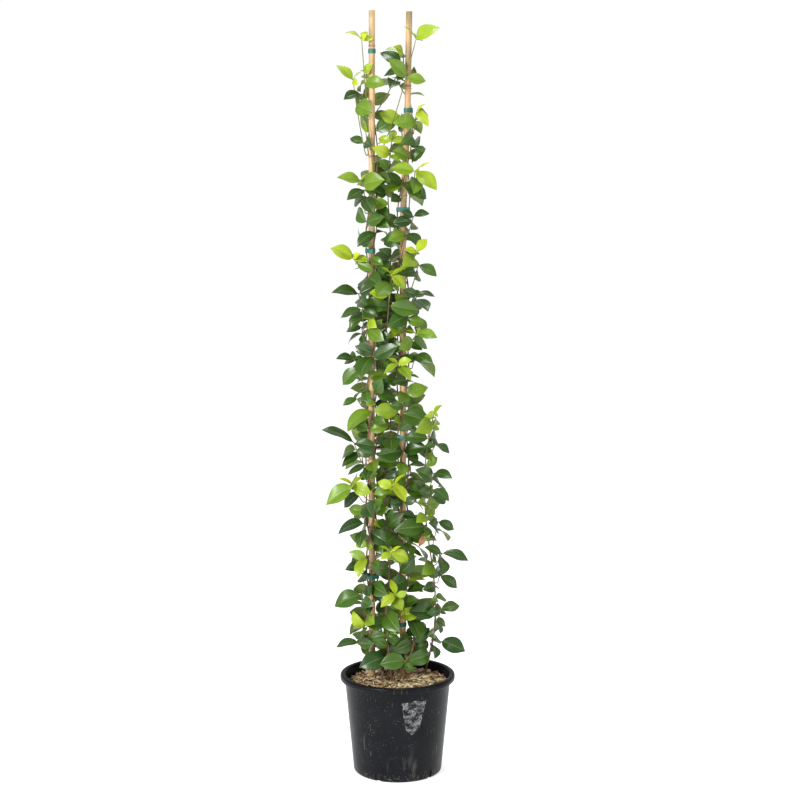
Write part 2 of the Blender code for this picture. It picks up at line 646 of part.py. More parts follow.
def make_mulch(stems):
    """A rough bed with larger chips lying on it, all one body, with the planting holes through it."""
    rng = np.random.RandomState(SEED + 1)
    low = SOIL_TOP + GAP
    rim = wall_radius(low) - 0.0010
    points = [(0, 0, low), (0, 0, mulch_height(0, 0))]
    for ring in range(1, MULCH_RINGS + 1):
        radius = rim * ring / MULCH_RINGS
        for k in range(MULCH_SIDES):
            angle = 2 * math.pi * (k + 0.5 * (ring % 2)) / MULCH_SIDES
            x, y = radius * math.cos(angle), radius * math.sin(angle)
            points.append((x, y, mulch_height(x, y) + rng.uniform(-0.0016, 0.0016)))
    last = 2 + (MULCH_RINGS - 1) * MULCH_SIDES
    foot = len(points)
    points += [(x, y, low) for x, y, _ in points[last:foot]]
    faces = []
    for k in range(MULCH_SIDES):
        after = (k + 1) % MULCH_SIDES
        faces.append((1, 2 + k, 2 + after))
        for ring in range(MULCH_RINGS - 1):
            a = 2 + ring * MULCH_SIDES
            faces.append((a + k, a + MULCH_SIDES + k, a + MULCH_SIDES + after, a + after))
        faces.append((last + k, foot + k, foot + after, last + after))
        faces.append((0, foot + after, foot + k))
    bed = solid("mulch", points, faces, "wood_chips")
    holes = [stem["path"][0][:2] for stem in stems if stem["parent"] is None]
    holes += [cane_axis(cane, SOIL_TOP)[:2] for cane in CANES]
    chips = []
    while len(chips) < CHIP_COUNT:
        radius, angle = (rim - 0.012) * math.sqrt(rng.rand()), rng.uniform(0, 2 * math.pi)
        x, y = radius * math.cos(angle), radius * math.sin(angle)
        turn, tilt, long = rng.uniform(0, math.pi), rng.uniform(-0.35, 0.35), rng.uniform(0.7, 1.2)
        if min(math.hypot(x - a, y - b) for a, b in holes) < CHIP_CLEAR:
            continue
        size = (CHIP_LENGTH * long, CHIP_WIDTH * rng.uniform(0.7, 1.2), CHIP_THICK)
        chips.append(block("chip", (x, y, mulch_height(x, y) + 0.0004), size, turn, "wood_chips", tilt))
    boolean(bed, "UNION", chips, "MANIFOLD")
    boolean(bed, "DIFFERENCE", planting_holes(stems, MULCH_HOLE_SLACK), "MANIFOLD")


def cane_radius(cane, z):
    """A cane's radius between its joints: it thins a little towards its top."""
    foot, top = CANES[cane][0][2], CANES[cane][-1][2]
    return CANE_RADIUS - CANE_THINNING * (z - foot) / (top - foot)


def make_cane(cane, knuckles):
    """A bamboo cane: a slightly tapering rod with a ridge at each joint."""
    rings = {point[2]: 0.0 for point in CANES[cane]}
    for place in knuckles:
        rings.update({place - CANE_KNUCKLE_HALF: 0.0, place: CANE_KNUCKLE, place + CANE_KNUCKLE_HALF: 0.0})
    heights = sorted(rings)
    radii = [cane_radius(cane, z) + rings[z] for z in heights]
    tube(f"cane_{cane}", [cane_axis(cane, z) for z in heights], radii, CANE_SIDES, "bamboo")


def make_tie(number, cane, z, stems):
    """A strip of tape drawn round the cane and every stem that touches it at this height."""
    half, outline = TIE_HEIGHT / 2, []
    rounds = [(cane_axis(cane, z), cane_radius(cane, z))]
    for stem in stems:
        path = stem["path"]
        radii = np.linspace(*stem["radius"], len(path))
        for level in (z - half, z, z + half):
            x, y, radius = (np.interp(level, path[:, 2], track) for track in (path[:, 0], path[:, 1], radii))
            held = stem.get("cane") == cane and level < path[-1][2]
            if held and math.hypot(x - rounds[0][0][0], y - rounds[0][0][1]) < TWINE_RADIUS + 0.002:
                rounds.append((np.array([x, y, z]), radius))
    for centre, radius in rounds:
        for angle in np.arange(6) * math.pi / 3 + 0.2:
            reach = (radius + TIE_SLACK) / math.cos(math.pi / 6)
            outline.append((centre[0] + reach * math.cos(angle), centre[1] + reach * math.sin(angle)))
    hull = np.array([outline[k] for k in geometry.convex_hull_2d(outline)])
    middle = hull.mean(axis=0)
    outer = middle + (hull - middle) * (1 + TIE_THICK / np.linalg.norm(hull - middle, axis=1).min())
    count = len(hull)
    points = [(*p, level) for level in (z - half, z + half) for loop in (hull, outer) for p in loop]
    faces = []
    for k in range(count):
        after = (k + 1) % count
        for a, b in ((0, 1), (1, 3), (3, 2), (2, 0)):
            faces.append((a * count + k, a * count + after, b * count + after, b * count + k))
    solid(f"tie_{number}", points, faces, "tape")


def stem_tube(stem):
    """The stem itself, drawn on a little past its last leaves."""
    path = stem["path"].copy()
    path[-1] += 0.002 * unit(path[-1] - path[-2])
    radii = np.linspace(stem["radius"][0], stem["radius"][1], len(path))
    if stem["age"]:
        radii[0] = SHOOT_FOOT_RADIUS
    colour = "young_foliage" if stem["age"] else "foliage"
    return tube(stem["name"], path, radii, SHOOT_SIDES if stem["parent"] else STEM_SIDES, colour)


def make_leafy_stems(stems):
    """Each main stem takes its leaves and its old side shoots; each young shoot is a solid of its own."""
    joined = {stem["name"]: [] for stem in stems if stem["parent"] is None or stem["age"]}
    bodies = {}
    for stem in stems:
        own = stem["name"] in joined
        target = stem["name"] if own else stem["parent"]
        rod = stem_tube(stem)
        if own:
            bodies[target] = rod
        else:
            joined[target].append(rod)
        colour = "young_foliage" if stem["age"] else "foliage"
        joined[target] += [leaf_blade("leaf", leaf, colour) for leaf in stem["leaves"]]
    for name, parts in joined.items():
        if parts:
            boolean(bodies[name], "UNION", parts, "MANIFOLD")
            bodies[name].data.materials.clear()
            bodies[name].data.materials.append(material("young_foliage" if "shoot" in name else "foliage"))


def main():
    for old in list(bpy.data.objects):
        bpy.data.objects.remove(old)
    stems, _ = grow()
    make_pot()
    make_soil(stems)
    make_mulch(stems)
    make_cane("left", (0.26, 0.51, 0.78, 1.03, 1.28, 1.50))
    make_cane("right", (0.21, 0.46, 0.72, 0.95, 1.20, 1.42))
    for number, (cane, z) in enumerate(TAPED, 1):
        make_tie(number, cane, z, stems)
    make_leafy_stems(stems)


main()
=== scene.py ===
import json
import math

import bmesh
import bpy
import numpy as np
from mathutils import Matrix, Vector
from mathutils.bvhtree import BVHTree

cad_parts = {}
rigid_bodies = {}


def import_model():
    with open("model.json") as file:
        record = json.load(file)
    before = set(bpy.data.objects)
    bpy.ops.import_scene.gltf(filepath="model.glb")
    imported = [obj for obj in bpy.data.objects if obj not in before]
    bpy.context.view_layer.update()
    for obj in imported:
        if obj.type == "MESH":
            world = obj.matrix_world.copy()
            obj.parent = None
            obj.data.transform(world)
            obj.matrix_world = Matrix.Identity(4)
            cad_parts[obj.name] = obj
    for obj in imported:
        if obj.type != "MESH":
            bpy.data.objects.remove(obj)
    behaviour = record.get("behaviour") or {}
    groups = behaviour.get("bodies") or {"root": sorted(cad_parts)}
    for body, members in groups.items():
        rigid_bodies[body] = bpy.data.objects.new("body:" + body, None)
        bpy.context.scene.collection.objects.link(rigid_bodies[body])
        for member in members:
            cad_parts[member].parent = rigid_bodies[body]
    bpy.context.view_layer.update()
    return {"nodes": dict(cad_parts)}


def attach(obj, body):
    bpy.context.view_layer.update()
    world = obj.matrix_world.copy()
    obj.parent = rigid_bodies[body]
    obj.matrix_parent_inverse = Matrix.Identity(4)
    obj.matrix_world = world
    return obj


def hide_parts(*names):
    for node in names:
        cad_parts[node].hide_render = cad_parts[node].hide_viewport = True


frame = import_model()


# The studio
# The plant stands on white paper in a white room. Soft lamps light it from the left, more weakly from
# the right and from above, and the room lights its edges.

EYE = (0.005, -3.5, 1.25)
EYE_TILT_DEG = 82.42
LENS_MM = 77.4
# Lamps as (place, the point that each faces, side in metres, watts).
LAMPS = {
    "lamp_left": ((-2.2, -2.7, 1.95), (0, 0, 0.7), 1.0, 112),
    "lamp_right": ((2.6, -2.2, 1.2), (0, 0, 0.7), 1.6, 18),
    "lamp_top": ((0.3, 0.2, 3.4), (0, 0, 0.5), 0.9, 30),
}
ROOM_LIGHT = 0.50
ROOM_SEEN = 1.02
PAPER_GLOW = 0.56

eye = bpy.data.objects.new("eye", bpy.data.cameras.new("eye"))
eye.data.lens = LENS_MM
eye.location = EYE
eye.rotation_euler = (math.radians(EYE_TILT_DEG), 0, 0)
bpy.context.scene.collection.objects.link(eye)
bpy.context.scene.camera = eye

for name, (place, target, size, watts) in LAMPS.items():
    lamp = bpy.data.objects.new(name, bpy.data.lights.new(name, "AREA"))
    lamp.data.size = size
    lamp.data.energy = watts
    lamp.location = place
    lamp.rotation_euler = (Vector(target) - Vector(place)).to_track_quat("-Z", "Y").to_euler()
    bpy.context.scene.collection.objects.link(lamp)

room = bpy.data.worlds.new("room")
bpy.context.scene.world = room
room.use_nodes = True
backdrop = room.node_tree.nodes["Background"]
backdrop.inputs["Color"].default_value = (1.0, 1.0, 1.0, 1)
# The room is brighter to the camera than to the plant, so that it shows pure white.
sight = room.node_tree.nodes.new("ShaderNodeLightPath")
strength = room.node_tree.nodes.new("ShaderNodeMapRange")
strength.inputs["To Min"].default_value = ROOM_LIGHT
strength.inputs["To Max"].default_value = ROOM_SEEN
room.node_tree.links.new(sight.outputs["Is Camera Ray"], strength.inputs["Value"])
room.node_tree.links.new(strength.outputs["Result"], backdrop.inputs["Strength"])
bpy.context.scene.view_settings.view_transform = "Standard"


def put_mesh(name, points, faces, crease_deg=40):
    """A mesh object from an array of points and lists of corner numbers, smooth but for its creases."""
    mesh = bpy.data.meshes.new(name)
    mesh.from_pydata(np.asarray(points, float).tolist(), [], faces)
    mesh.shade_smooth()
    mesh.set_sharp_from_angle(angle=math.radians(crease_deg))
    made = bpy.data.objects.new(name, mesh)
    bpy.context.scene.collection.objects.link(made)
    return made


def give(piece, **layers):
    """Stores one number, or one row of three, for each point of the piece under each name."""
    for name, values in layers.items():
        values = np.asarray(values, np.float32)
        kind, field = ("FLOAT", "value") if values.ndim == 1 else ("FLOAT_VECTOR", "vector")
        piece.data.attributes.new(name, kind, "POINT").data.foreach_set(field, values.ravel())


class Tone:
    """A socket on its way through a material. Arithmetic on it adds Math nodes."""

    def __init__(self, tree, socket):
        self.tree, self.socket = tree, socket

    def node(self, kind, settings, values, out=0):
        """Adds a node: its settings first, then a number or a link for each of its sockets."""
        made = self.tree.nodes.new("ShaderNode" + kind)
        for name, value in settings.items():
            if name == "stops":
                marks = made.color_ramp.elements
                while len(marks) < len(value):
                    marks.new(0.5)
                for mark, (place, colour) in zip(marks, value):
                    mark.position, mark.color = place, (*colour, 1)
            else:
                setattr(made, name, value)
        for name, value in values.items():
            if isinstance(value, Tone):
                self.tree.links.new(value.socket, made.inputs[name])
            elif isinstance(value, tuple) and made.inputs[name].type == "RGBA":
                made.inputs[name].default_value = (*value, 1)
            else:
                made.inputs[name].default_value = value
        return Tone(self.tree, made.outputs[out])

    def maths(self, operation, other=0.0):
        """A Math node on this value and, where the operation takes two, the other."""
        return self.node("Math", {"operation": operation}, {0: self, 1: other})

    def __add__(self, other):
        return self.maths("ADD", other)

    def __sub__(self, other):
        return self.maths("SUBTRACT", other)

    def __rsub__(self, other):
        return self.node("Math", {"operation": "SUBTRACT"}, {0: other, 1: self})

    def __mul__(self, other):
        return self.maths("MULTIPLY", other)

    def __abs__(self):
        return self.maths("ABSOLUTE")

    __radd__, __rmul__ = __add__, __mul__

    def between(self, low, high):
        """0 at low, 1 at high and a smooth rise from one to the other."""
        return self.node("MapRange", {"interpolation_type": "SMOOTHSTEP"}, {0: self, 1: low, 2: high})

    def noise(self, scale, detail=3.0, stretch=(1, 1, 1)):
        """Cloudy noise about 0.5 over these coordinates, with the given features per metre."""
        place = self.node("Mapping", {}, {"Vector": self, "Scale": stretch})
        return self.node("TexNoise", {}, {"Vector": place, "Scale": scale, "Detail": detail})

    def mix(self, first, second):
        """The first colour where this mask is 0 and the second where it is 1."""
        return self.node("Mix", {"data_type": "RGBA"}, {0: self, 6: first, 7: second}, out=2)

    def ramp(self, *stops):
        """The colour for this value, between stops of (place, colour)."""
        return self.node("ValToRGB", {"stops": stops}, {0: self})

    def shaded(self, amount):
        """This colour made darker or lighter by a number about 1."""
        return self.node("VectorMath", {"operation": "SCALE"}, {0: self, 3: amount})

    def attribute(self, name, out=2):
        """A layer stored by give(): a number, or with out=1 a row of three."""
        return self.node("Attribute", {"attribute_name": name}, {}, out=out)

    def axes(self):
        """The x, y and z of this vector."""
        return [self.node("SeparateXYZ", {}, {0: self}, out=k) for k in range(3)]

    def bump(self, depth):
        """A normal from this height, where 1 stands depth metres above 0."""
        return self.node("Bump", {}, {"Height": self, "Distance": depth, "Strength": 1.0})


def finish_of(name, roughness=0.5, **fixed):
    """A new material: the material, its object coordinates and its Principled node."""
    made = bpy.data.materials.new(name)
    made.use_nodes = True
    skin = made.node_tree.nodes["Principled BSDF"]
    skin.inputs["Roughness"].default_value = roughness
    for socket, value in fixed.items():
        skin.inputs[socket.replace("_", " ")].default_value = value
    place = made.node_tree.nodes.new("ShaderNodeTexCoord")
    return made, Tone(made.node_tree, place.outputs["Object"]), skin


def connect(skin, **values):
    """Links each value to the Principled socket of that name."""
    for socket, value in values.items():
        value.tree.links.new(value.socket, skin.inputs[socket.replace("_", " ")])


def seat(piece, material, slot, *nodes):
    """The piece takes its material, rides with the pot and stands for the CAD nodes named."""
    piece.data.materials.clear()
    piece.data.materials.append(material)
    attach(piece, "root")
    if nodes:
        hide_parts(*nodes)


paper = put_mesh("paper", [(-30, -30, 0), (30, -30, 0), (30, 30, 0), (-30, 30, 0)], [(0, 1, 2, 3)])
paper_white, place, skin = finish_of("paper_white", 0.9, Emission_Color=(1, 1, 1, 1),
                                     Emission_Strength=PAPER_GLOW)
connect(skin, Base_Color=place.noise(1.0).ramp((0.3, (0.93, 0.93, 0.93)), (0.7, (0.95, 0.95, 0.95))))
paper.data.materials.append(paper_white)


# The pot
# A 7.5 litre nursery container, 24 cm across, injection moulded in black polypropylene: a thin tapered
# wall, a rolled rim and five drainage notches round the foot. Soil dust and scraps of paper cling to it.

POT_HEIGHT = 0.208
RIM_RADIUS = 0.120
WALL_TOP_RADIUS = 0.1105
BASE_RADIUS = 0.0925
POT_WALL = 0.0018
POT_FLOOR = 0.0026
RIM_DROP = 0.0115
HEEL = 0.006
POT_SIDES = 144
NOTCHES = 5
NOTCH_FIRST_DEG = -116.0
# A notch's outline as (place across, height), from below the foot to its rounded top.
NOTCH_ARCH = ((-0.0054, -0.004), (0.0054, -0.004), (0.0054, 0.0165), (0.0040, 0.0180),
              (-0.0040, 0.0180), (-0.0054, 0.0165))
NOTCH_DEPTHS = (-0.008, 0.004)
STICKER_MIDDLE = 0.141
STICKER_HALF_HEIGHT = 0.0355


def turn_profile(profile, sides):
    """Points of a surface of revolution: each (radius, height) goes once round Z; one ring per pair."""
    profile = np.asarray(profile)
    angle = 2 * math.pi * np.arange(sides) / sides
    ring = np.stack([np.cos(angle), np.sin(angle)], axis=1)
    flat = profile[:, None, 0:1] * ring[None]
    up = np.broadcast_to(profile[:, None, 1:2], (len(profile), sides, 1))
    return np.concatenate([flat, up], axis=2).reshape(-1, 3)


def ring_faces(rings, sides, caps=True):
    """Quads between neighbouring rings of points, and a flat face over the first and last ring."""
    start = (np.arange(rings - 1) * sides)[:, None]
    low, after = start + np.arange(sides), start + (np.arange(sides) + 1) % sides
    quads = np.stack([low, after, after + sides, low + sides], axis=2).reshape(-1, 4).tolist()
    ends = [list(range(sides))[::-1], list(range((rings - 1) * sides, rings * sides))] if caps else []
    return quads + ends


def corner_curve(a, b, c, count=5):
    """A rounded corner: the quadratic curve from a to c that leans towards b."""
    t = np.linspace(0, 1, count)[:, None]
    return ((1 - t) ** 2 * np.array(a) + 2 * t * (1 - t) * np.array(b) + t**2 * np.array(c)).tolist()


def pot_inside(z):
    """The inner radius of the pot's wall at height z."""
    share = (z - HEEL) / (POT_HEIGHT - RIM_DROP - HEEL)
    return BASE_RADIUS + share * (WALL_TOP_RADIUS - BASE_RADIUS) - POT_WALL


under = POT_HEIGHT - RIM_DROP
lip = WALL_TOP_RADIUS - POT_WALL
taper = WALL_TOP_RADIUS - BASE_RADIUS
profile = [(0.0005, 0.0), (0.05, 0.0)]
profile += corner_curve((BASE_RADIUS - 0.006, 0), (BASE_RADIUS - 0.0004, 0), (BASE_RADIUS, HEEL))
profile += [(BASE_RADIUS + taper * k / 6, HEEL + (under - HEEL) * k / 6) for k in range(1, 6)]
profile += corner_curve((WALL_TOP_RADIUS, under - 0.0015), (WALL_TOP_RADIUS, under),
                        (WALL_TOP_RADIUS + 0.0015, under), 4)
profile += corner_curve((RIM_RADIUS - 0.0016, under), (RIM_RADIUS, under), (RIM_RADIUS, under + 0.0022))
profile += corner_curve((RIM_RADIUS, POT_HEIGHT - 0.0045), (RIM_RADIUS - 0.0004, POT_HEIGHT),
                        (RIM_RADIUS - 0.0048, POT_HEIGHT))
profile += corner_curve((WALL_TOP_RADIUS + 0.0012, POT_HEIGHT), (lip, POT_HEIGHT), (lip, POT_HEIGHT - 0.0045))
profile += [(pot_inside(0.15), 0.15), (pot_inside(0.08), 0.08)]
profile += corner_curve((pot_inside(0.008), 0.008), (pot_inside(POT_FLOOR), POT_FLOOR),
                        (pot_inside(POT_FLOOR) - 0.004, POT_FLOOR))
profile += [(0.0005, POT_FLOOR)]
pot = put_mesh("pot_shell", turn_profile(profile, POT_SIDES), ring_faces(len(profile), POT_SIDES))

for number in range(NOTCHES):
    angle = math.radians(NOTCH_FIRST_DEG + 360 / NOTCHES * number)
    out = np.array([math.cos(angle), math.sin(angle), 0])
    side = np.array([-math.sin(angle), math.cos(angle), 0])
    points = [(BASE_RADIUS + depth) * out + across * side + (0, 0, z)
              for depth in NOTCH_DEPTHS for across, z in NOTCH_ARCH]
    cutter = put_mesh("notch_cutter", points, ring_faces(2, len(NOTCH_ARCH)))
    cut = pot.modifiers.new("notch", "BOOLEAN")
    cut.object = cutter
    cut.operation = "DIFFERENCE"
    cut.solver = "EXACT"
    shaped = bpy.data.meshes.new_from_object(pot.evaluated_get(bpy.context.evaluated_depsgraph_get()))
    pot.modifiers.clear()
    pot.data = shaped
    bpy.data.objects.remove(cutter)
pot.data.set_sharp_from_angle(angle=math.radians(40))

black_plastic, place, skin = finish_of("black_plastic", Specular_IOR_Level=0.10)
x, y, z = place.axes()
cloud = place.noise(14.0, 4.0)
speck = place.noise(520.0, 2.0).between(0.66, 0.72) * place.noise(40.0).between(0.40, 0.62)
smear = place.noise(60.0, 6.0, (1, 1, 0.25)).between(0.56, 0.78) * z.between(0.10, 0.01) * 0.35
streak = place.noise(300.0, 2.0, (1, 0.4, 0.09)).between(0.66, 0.72)
scratch = streak * place.noise(22.0).between(0.45, 0.6) * 0.4
foot_dust = place.noise(260.0, 4.0).between(0.52, 0.66) * z.between(0.022, 0.004) * 0.5
# The sticker's remains: a patch on the front, wide at its top and ragged everywhere.
middle = (z - STICKER_MIDDLE) * 0.06 + 0.0315
half_width = (z - 0.106) * 0.19 + 0.0115 - z.between(0.118, 0.103) * 0.010
ragged = place.noise(110.0, 4.0) * 0.012 - 0.006
from_side = half_width - abs(x - middle) + ragged
from_end = STICKER_HALF_HEIGHT - abs(z - STICKER_MIDDLE) + ragged
inset = from_side.maths("MINIMUM", from_end)
inside = inset.between(-0.0006, 0.0006) * y.between(0.0, -0.02)
film = place.noise(70.0, 8.0, (1, 1, 1.7)).between(0.40, 0.68) * 0.62
creases = abs(place.noise(120.0, 4.0, (1, 1, 1.6)) - 0.5).between(0.030, 0.004) * 0.28
margin = inset.between(0.0020, 0.0002) * place.noise(130.0, 3.0).between(0.42, 0.62) * 0.4
fibres = place.noise(600.0, 4.0, (1, 1, 0.5)).between(0.28, 0.66)
scraps = (film + creases + margin) * fibres
paper_left = inside * scraps.maths("MINIMUM", 1.0)
dust = speck + smear + scratch + foot_dust
dirt = dust.maths("MINIMUM", 1.0)
plastic = cloud.ramp((0.3, (0.0042, 0.0052, 0.0068)), (0.7, (0.0075, 0.0088, 0.0110)))
dusty = (dirt * 0.55).mix(plastic, (0.30, 0.28, 0.25))
connect(skin, Base_Color=(paper_left * 0.85).mix(dusty, (0.50, 0.51, 0.52)),
        Roughness=cloud * 0.14 + 0.26 + dirt * 0.3 + paper_left * 0.35,
        Normal=(place.noise(700.0, 2.0) * 0.15 + paper_left).bump(0.00012))
seat(pot, black_plastic, "black_plastic", "pot")


# The root ball
# Damp potting compost, dark and crumbly, held together by roots. It shows only through the notches.

SOIL_TOP = 0.178
compost, place, skin = finish_of("compost", 0.95)
crumb = place.noise(520.0, 5.0)
connect(skin, Base_Color=crumb.ramp((0.3, (0.008, 0.006, 0.004)), (0.7, (0.030, 0.019, 0.011))),
        Normal=crumb.bump(0.0008))
frame["nodes"]["soil"].material_slots[0].material = compost


# The wood chips
# A layer of shredded bark and wood over the compost: a rough bed, and loose slivers and flakes heaped
# on it, cream, tan, rust and dark brown, with a few fallen leaf bits.

CHIPS_EDGE = 0.186
CHIPS_HEAP = 0.008
CHIPS_LOW = SOIL_TOP + 0.0006
BED_RINGS = 26
BED_SIDES = 120
SLIVERS = 3200
SLIVER_LENGTHS = (0.006, 0.010, 0.016, 0.024)
SLIVER_SHARES = (0.40, 0.32, 0.19, 0.09)
LAYERS = (0.0, 0.0015, 0.0032, 0.0048)
LAYER_SHARES = (0.4, 0.32, 0.2, 0.08)


def chips_height(x, y):
    """The bed's height: level, plus one broad heap at the right, less a scoop where the stems come up."""
    heap = CHIPS_HEAP * np.exp(-((x - 0.050) ** 2 + (y - 0.010) ** 2) / 0.0022)
    return CHIPS_EDGE + heap - 0.0045 * np.exp(-((x + 0.004) ** 2 + (y - 0.004) ** 2) / 0.0005)


def swing(points, angle, a, b):
    """Each sliver's points turned from axis a towards axis b by its own angle."""
    cos, sin = np.cos(angle)[:, None, None], np.sin(angle)[:, None, None]
    swung = points.copy()
    swung[..., a] = points[..., a] * cos - points[..., b] * sin
    swung[..., b] = points[..., a] * sin + points[..., b] * cos
    return swung


chance = np.random.RandomState(5)
radius = (pot_inside(CHIPS_LOW) - 0.0008) * np.linspace(0.01, 1, BED_RINGS)
angle = 2 * math.pi * np.arange(BED_SIDES) / BED_SIDES
bed_x, bed_y = radius[:, None] * np.cos(angle), radius[:, None] * np.sin(angle)
bed_z = chips_height(bed_x, bed_y) + chance.uniform(-0.0016, 0.0012, bed_x.shape) - 0.001
top = np.stack([bed_x, bed_y, bed_z], axis=2).reshape(-1, 3)
foot = top[-BED_SIDES:] * (1, 1, 0) + (0, 0, CHIPS_LOW)
bed = put_mesh("chip_bed", np.vstack([top, foot]), ring_faces(BED_RINGS + 1, BED_SIDES))
give(bed, chip=np.full(len(top) + BED_SIDES, 0.22))
# Nothing reads these numbers: drawing them keeps the order of the draws that follow.
chance.rand(len(top) + BED_SIDES)

reach = (pot_inside(0.19) - 0.006) * np.sqrt(chance.rand(SLIVERS))
angle = chance.uniform(0, 2 * math.pi, SLIVERS)
at_x, at_y = reach * np.cos(angle), reach * np.sin(angle)
long = chance.choice(SLIVER_LENGTHS, SLIVERS, p=SLIVER_SHARES) * chance.uniform(0.7, 1.2, SLIVERS)
wide = np.minimum(long * chance.uniform(0.12, 0.45, SLIVERS), 0.0058)
thick = wide * chance.uniform(0.18, 0.45, SLIVERS) + 0.0004
turn, tilt, roll = (chance.uniform(-a, a, SLIVERS) for a in (math.pi, 0.42, 0.6))
# Each sliver is a bar of four rings of four points: pointed at both ends, bowed and twisted.
s = np.array([-1, -0.45, 0.4, 1])
girth = np.array([0.35, 1.0, 0.85, 0.25])
quarter = np.pi / 4 + np.arange(4) * np.pi / 2
local = np.zeros((SLIVERS, 4, 4, 3))
local[..., 0] = 0.5 * long[:, None, None] * s[:, None]
twist = roll[:, None, None] + 0.5 * s[:, None] * chance.uniform(-1, 1, SLIVERS)[:, None, None]
flat = 0.7 * wide[:, None, None] * girth[:, None] * np.cos(quarter)
deep = 0.7 * thick[:, None, None] * girth[:, None] * np.sin(quarter)
local[..., 1] = flat * np.cos(twist) - deep * np.sin(twist)
bow = chance.uniform(-0.12, 0.12, SLIVERS)[:, None, None] * long[:, None, None] * (1 - s**2)[:, None]
local[..., 2] = flat * np.sin(twist) + deep * np.cos(twist) + bow
layer = chance.choice(LAYERS, SLIVERS, p=LAYER_SHARES)
centres = np.stack([at_x, at_y, chips_height(at_x, at_y) + layer], axis=1)
laid = swing(swing(local, tilt, 2, 0), turn, 0, 1) + centres[:, None, None]
out = np.hypot(laid[..., 0], laid[..., 1]).reshape(SLIVERS, -1).max(axis=1)
laid = laid[out < pot_inside(0.19) - 0.0006]
kept = len(laid)
faces = (np.array(ring_faces(4, 4))[None] + 16 * np.arange(kept)[:, None, None]).reshape(-1, 4).tolist()
slivers = put_mesh("chip_slivers", laid.reshape(-1, 3), faces, 30)
give(slivers, chip=np.repeat(chance.rand(kept), 16))

wood_chips, place, skin = finish_of("wood_chips", 0.85)
grain = place.noise(800.0, 3.0)
colour = place.attribute("chip").ramp(
    (0.00, (0.040, 0.022, 0.010)), (0.14, (0.12, 0.060, 0.026)), (0.28, (0.30, 0.150, 0.066)),
    (0.44, (0.48, 0.31, 0.150)), (0.66, (0.66, 0.50, 0.29)), (0.92, (0.86, 0.74, 0.52)),
    (0.96, (0.30, 0.33, 0.05)))
connect(skin, Base_Color=colour.shaded(grain * 0.7 + 0.62), Normal=grain.bump(0.0004))
seat(bed, wood_chips, "wood_chips", "mulch")
seat(slivers, wood_chips, "wood_chips", "mulch")


# The canes
# Two garden bamboo canes, 1.5 m by 14 mm, pushed into the root ball: smooth honey-coloured rind with
# fine fibres, stained orange and grey-green by weather, a ridge with a scar at every joint, cut ends.

CANE_RADIUS = 0.0068
CANE_THINNING = 0.0004
CANE_SIDES = 28
JOINTS = {"left": (0.26, 0.51, 0.78, 1.03, 1.28, 1.50), "right": (0.21, 0.46, 0.72, 0.95, 1.20, 1.42)}
# Where rings stand about a joint, in millimetres, and the steps of a cut end: (share of radius, drop).
JOINT_RINGS = (-7, -5, -3.6, -2.4, -1.6, -0.8, 0, 0.8, 1.6, 2.6, 4, 6)
CUT_END = ((0.93, 0.0), (0.42, -0.0002), (0.36, -0.004), (0.02, -0.005))

# Cane axes as (x, y, z) from foot to top; the right-hand cane bows outwards near its top.
CANES = {
    "left": ((-0.054, 0.040, 0.070), (-0.054, 0.038, 0.80), (-0.0515, 0.032, 1.571)),
    "right": ((0.011, 0.045, 0.070), (0.011, 0.040, 1.15), (0.0205, 0.033, 1.38), (0.0235, 0.028, 1.568)),
}


def cane_axis(cane, z):
    """The cane's centre at height z, between the points that it passes through."""
    points = np.array(CANES[cane])
    return np.array([np.interp(z, points[:, 2], points[:, 0]), np.interp(z, points[:, 2], points[:, 1]), z])


def cane_radius(cane, z):
    """A cane's radius between its joints: it thins a little towards its top."""
    foot, top = CANES[cane][0][2], CANES[cane][-1][2]
    return CANE_RADIUS - CANE_THINNING * (z - foot) / (top - foot)


def cane_surface(cane, joints):
    """Rings up the cane: a ridge and a groove below it at each joint, on a slightly uneven round."""
    foot, top = CANES[cane][0][2], CANES[cane][-1][2]
    near = np.concatenate([j + 0.001 * np.array(JOINT_RINGS) for j in joints])
    levels = np.unique(np.concatenate([np.linspace(foot, top - 0.0006, 90), near[near < top - 0.002]]))
    axis = np.array([cane_axis(cane, z) for z in levels])
    above = levels[:, None] - np.array(joints)[None]
    ridge = 0.0008 * np.exp(-(above / 0.0017) ** 2) - 0.0006 * np.exp(-((above + 0.0034) / 0.0010) ** 2)
    angle, z = (2 * math.pi * np.arange(CANE_SIDES) / CANE_SIDES)[None], levels[:, None]
    uneven = 1 + 0.012 * np.sin(2 * angle + 3 * z) + 0.008 * np.sin(3 * angle - 9 * z)
    radius = (cane_radius(cane, levels) + ridge.sum(axis=1))[:, None] * uneven
    points = axis[:, None, :] + np.stack([radius * np.cos(angle), radius * np.sin(angle), 0 * radius], axis=2)
    cut = axis[-1] + (0, 0, 0.0006)
    rim = [cut + (points[-1] - axis[-1]) * share + (0, 0, drop) for share, drop in CUT_END]
    points = np.concatenate([points, np.array(rim)])
    scar = np.concatenate([np.exp(-(np.abs(above).min(axis=1) / 0.0030) ** 2), [0, 0, 0, 0]])
    pith = np.concatenate([np.zeros(len(levels)), [0.6, 0.8, 1, 1]])
    shade = np.concatenate([np.searchsorted(joints, levels) * 0.37 % 1.0, [0.5] * 4])
    return points, scar, pith, shade


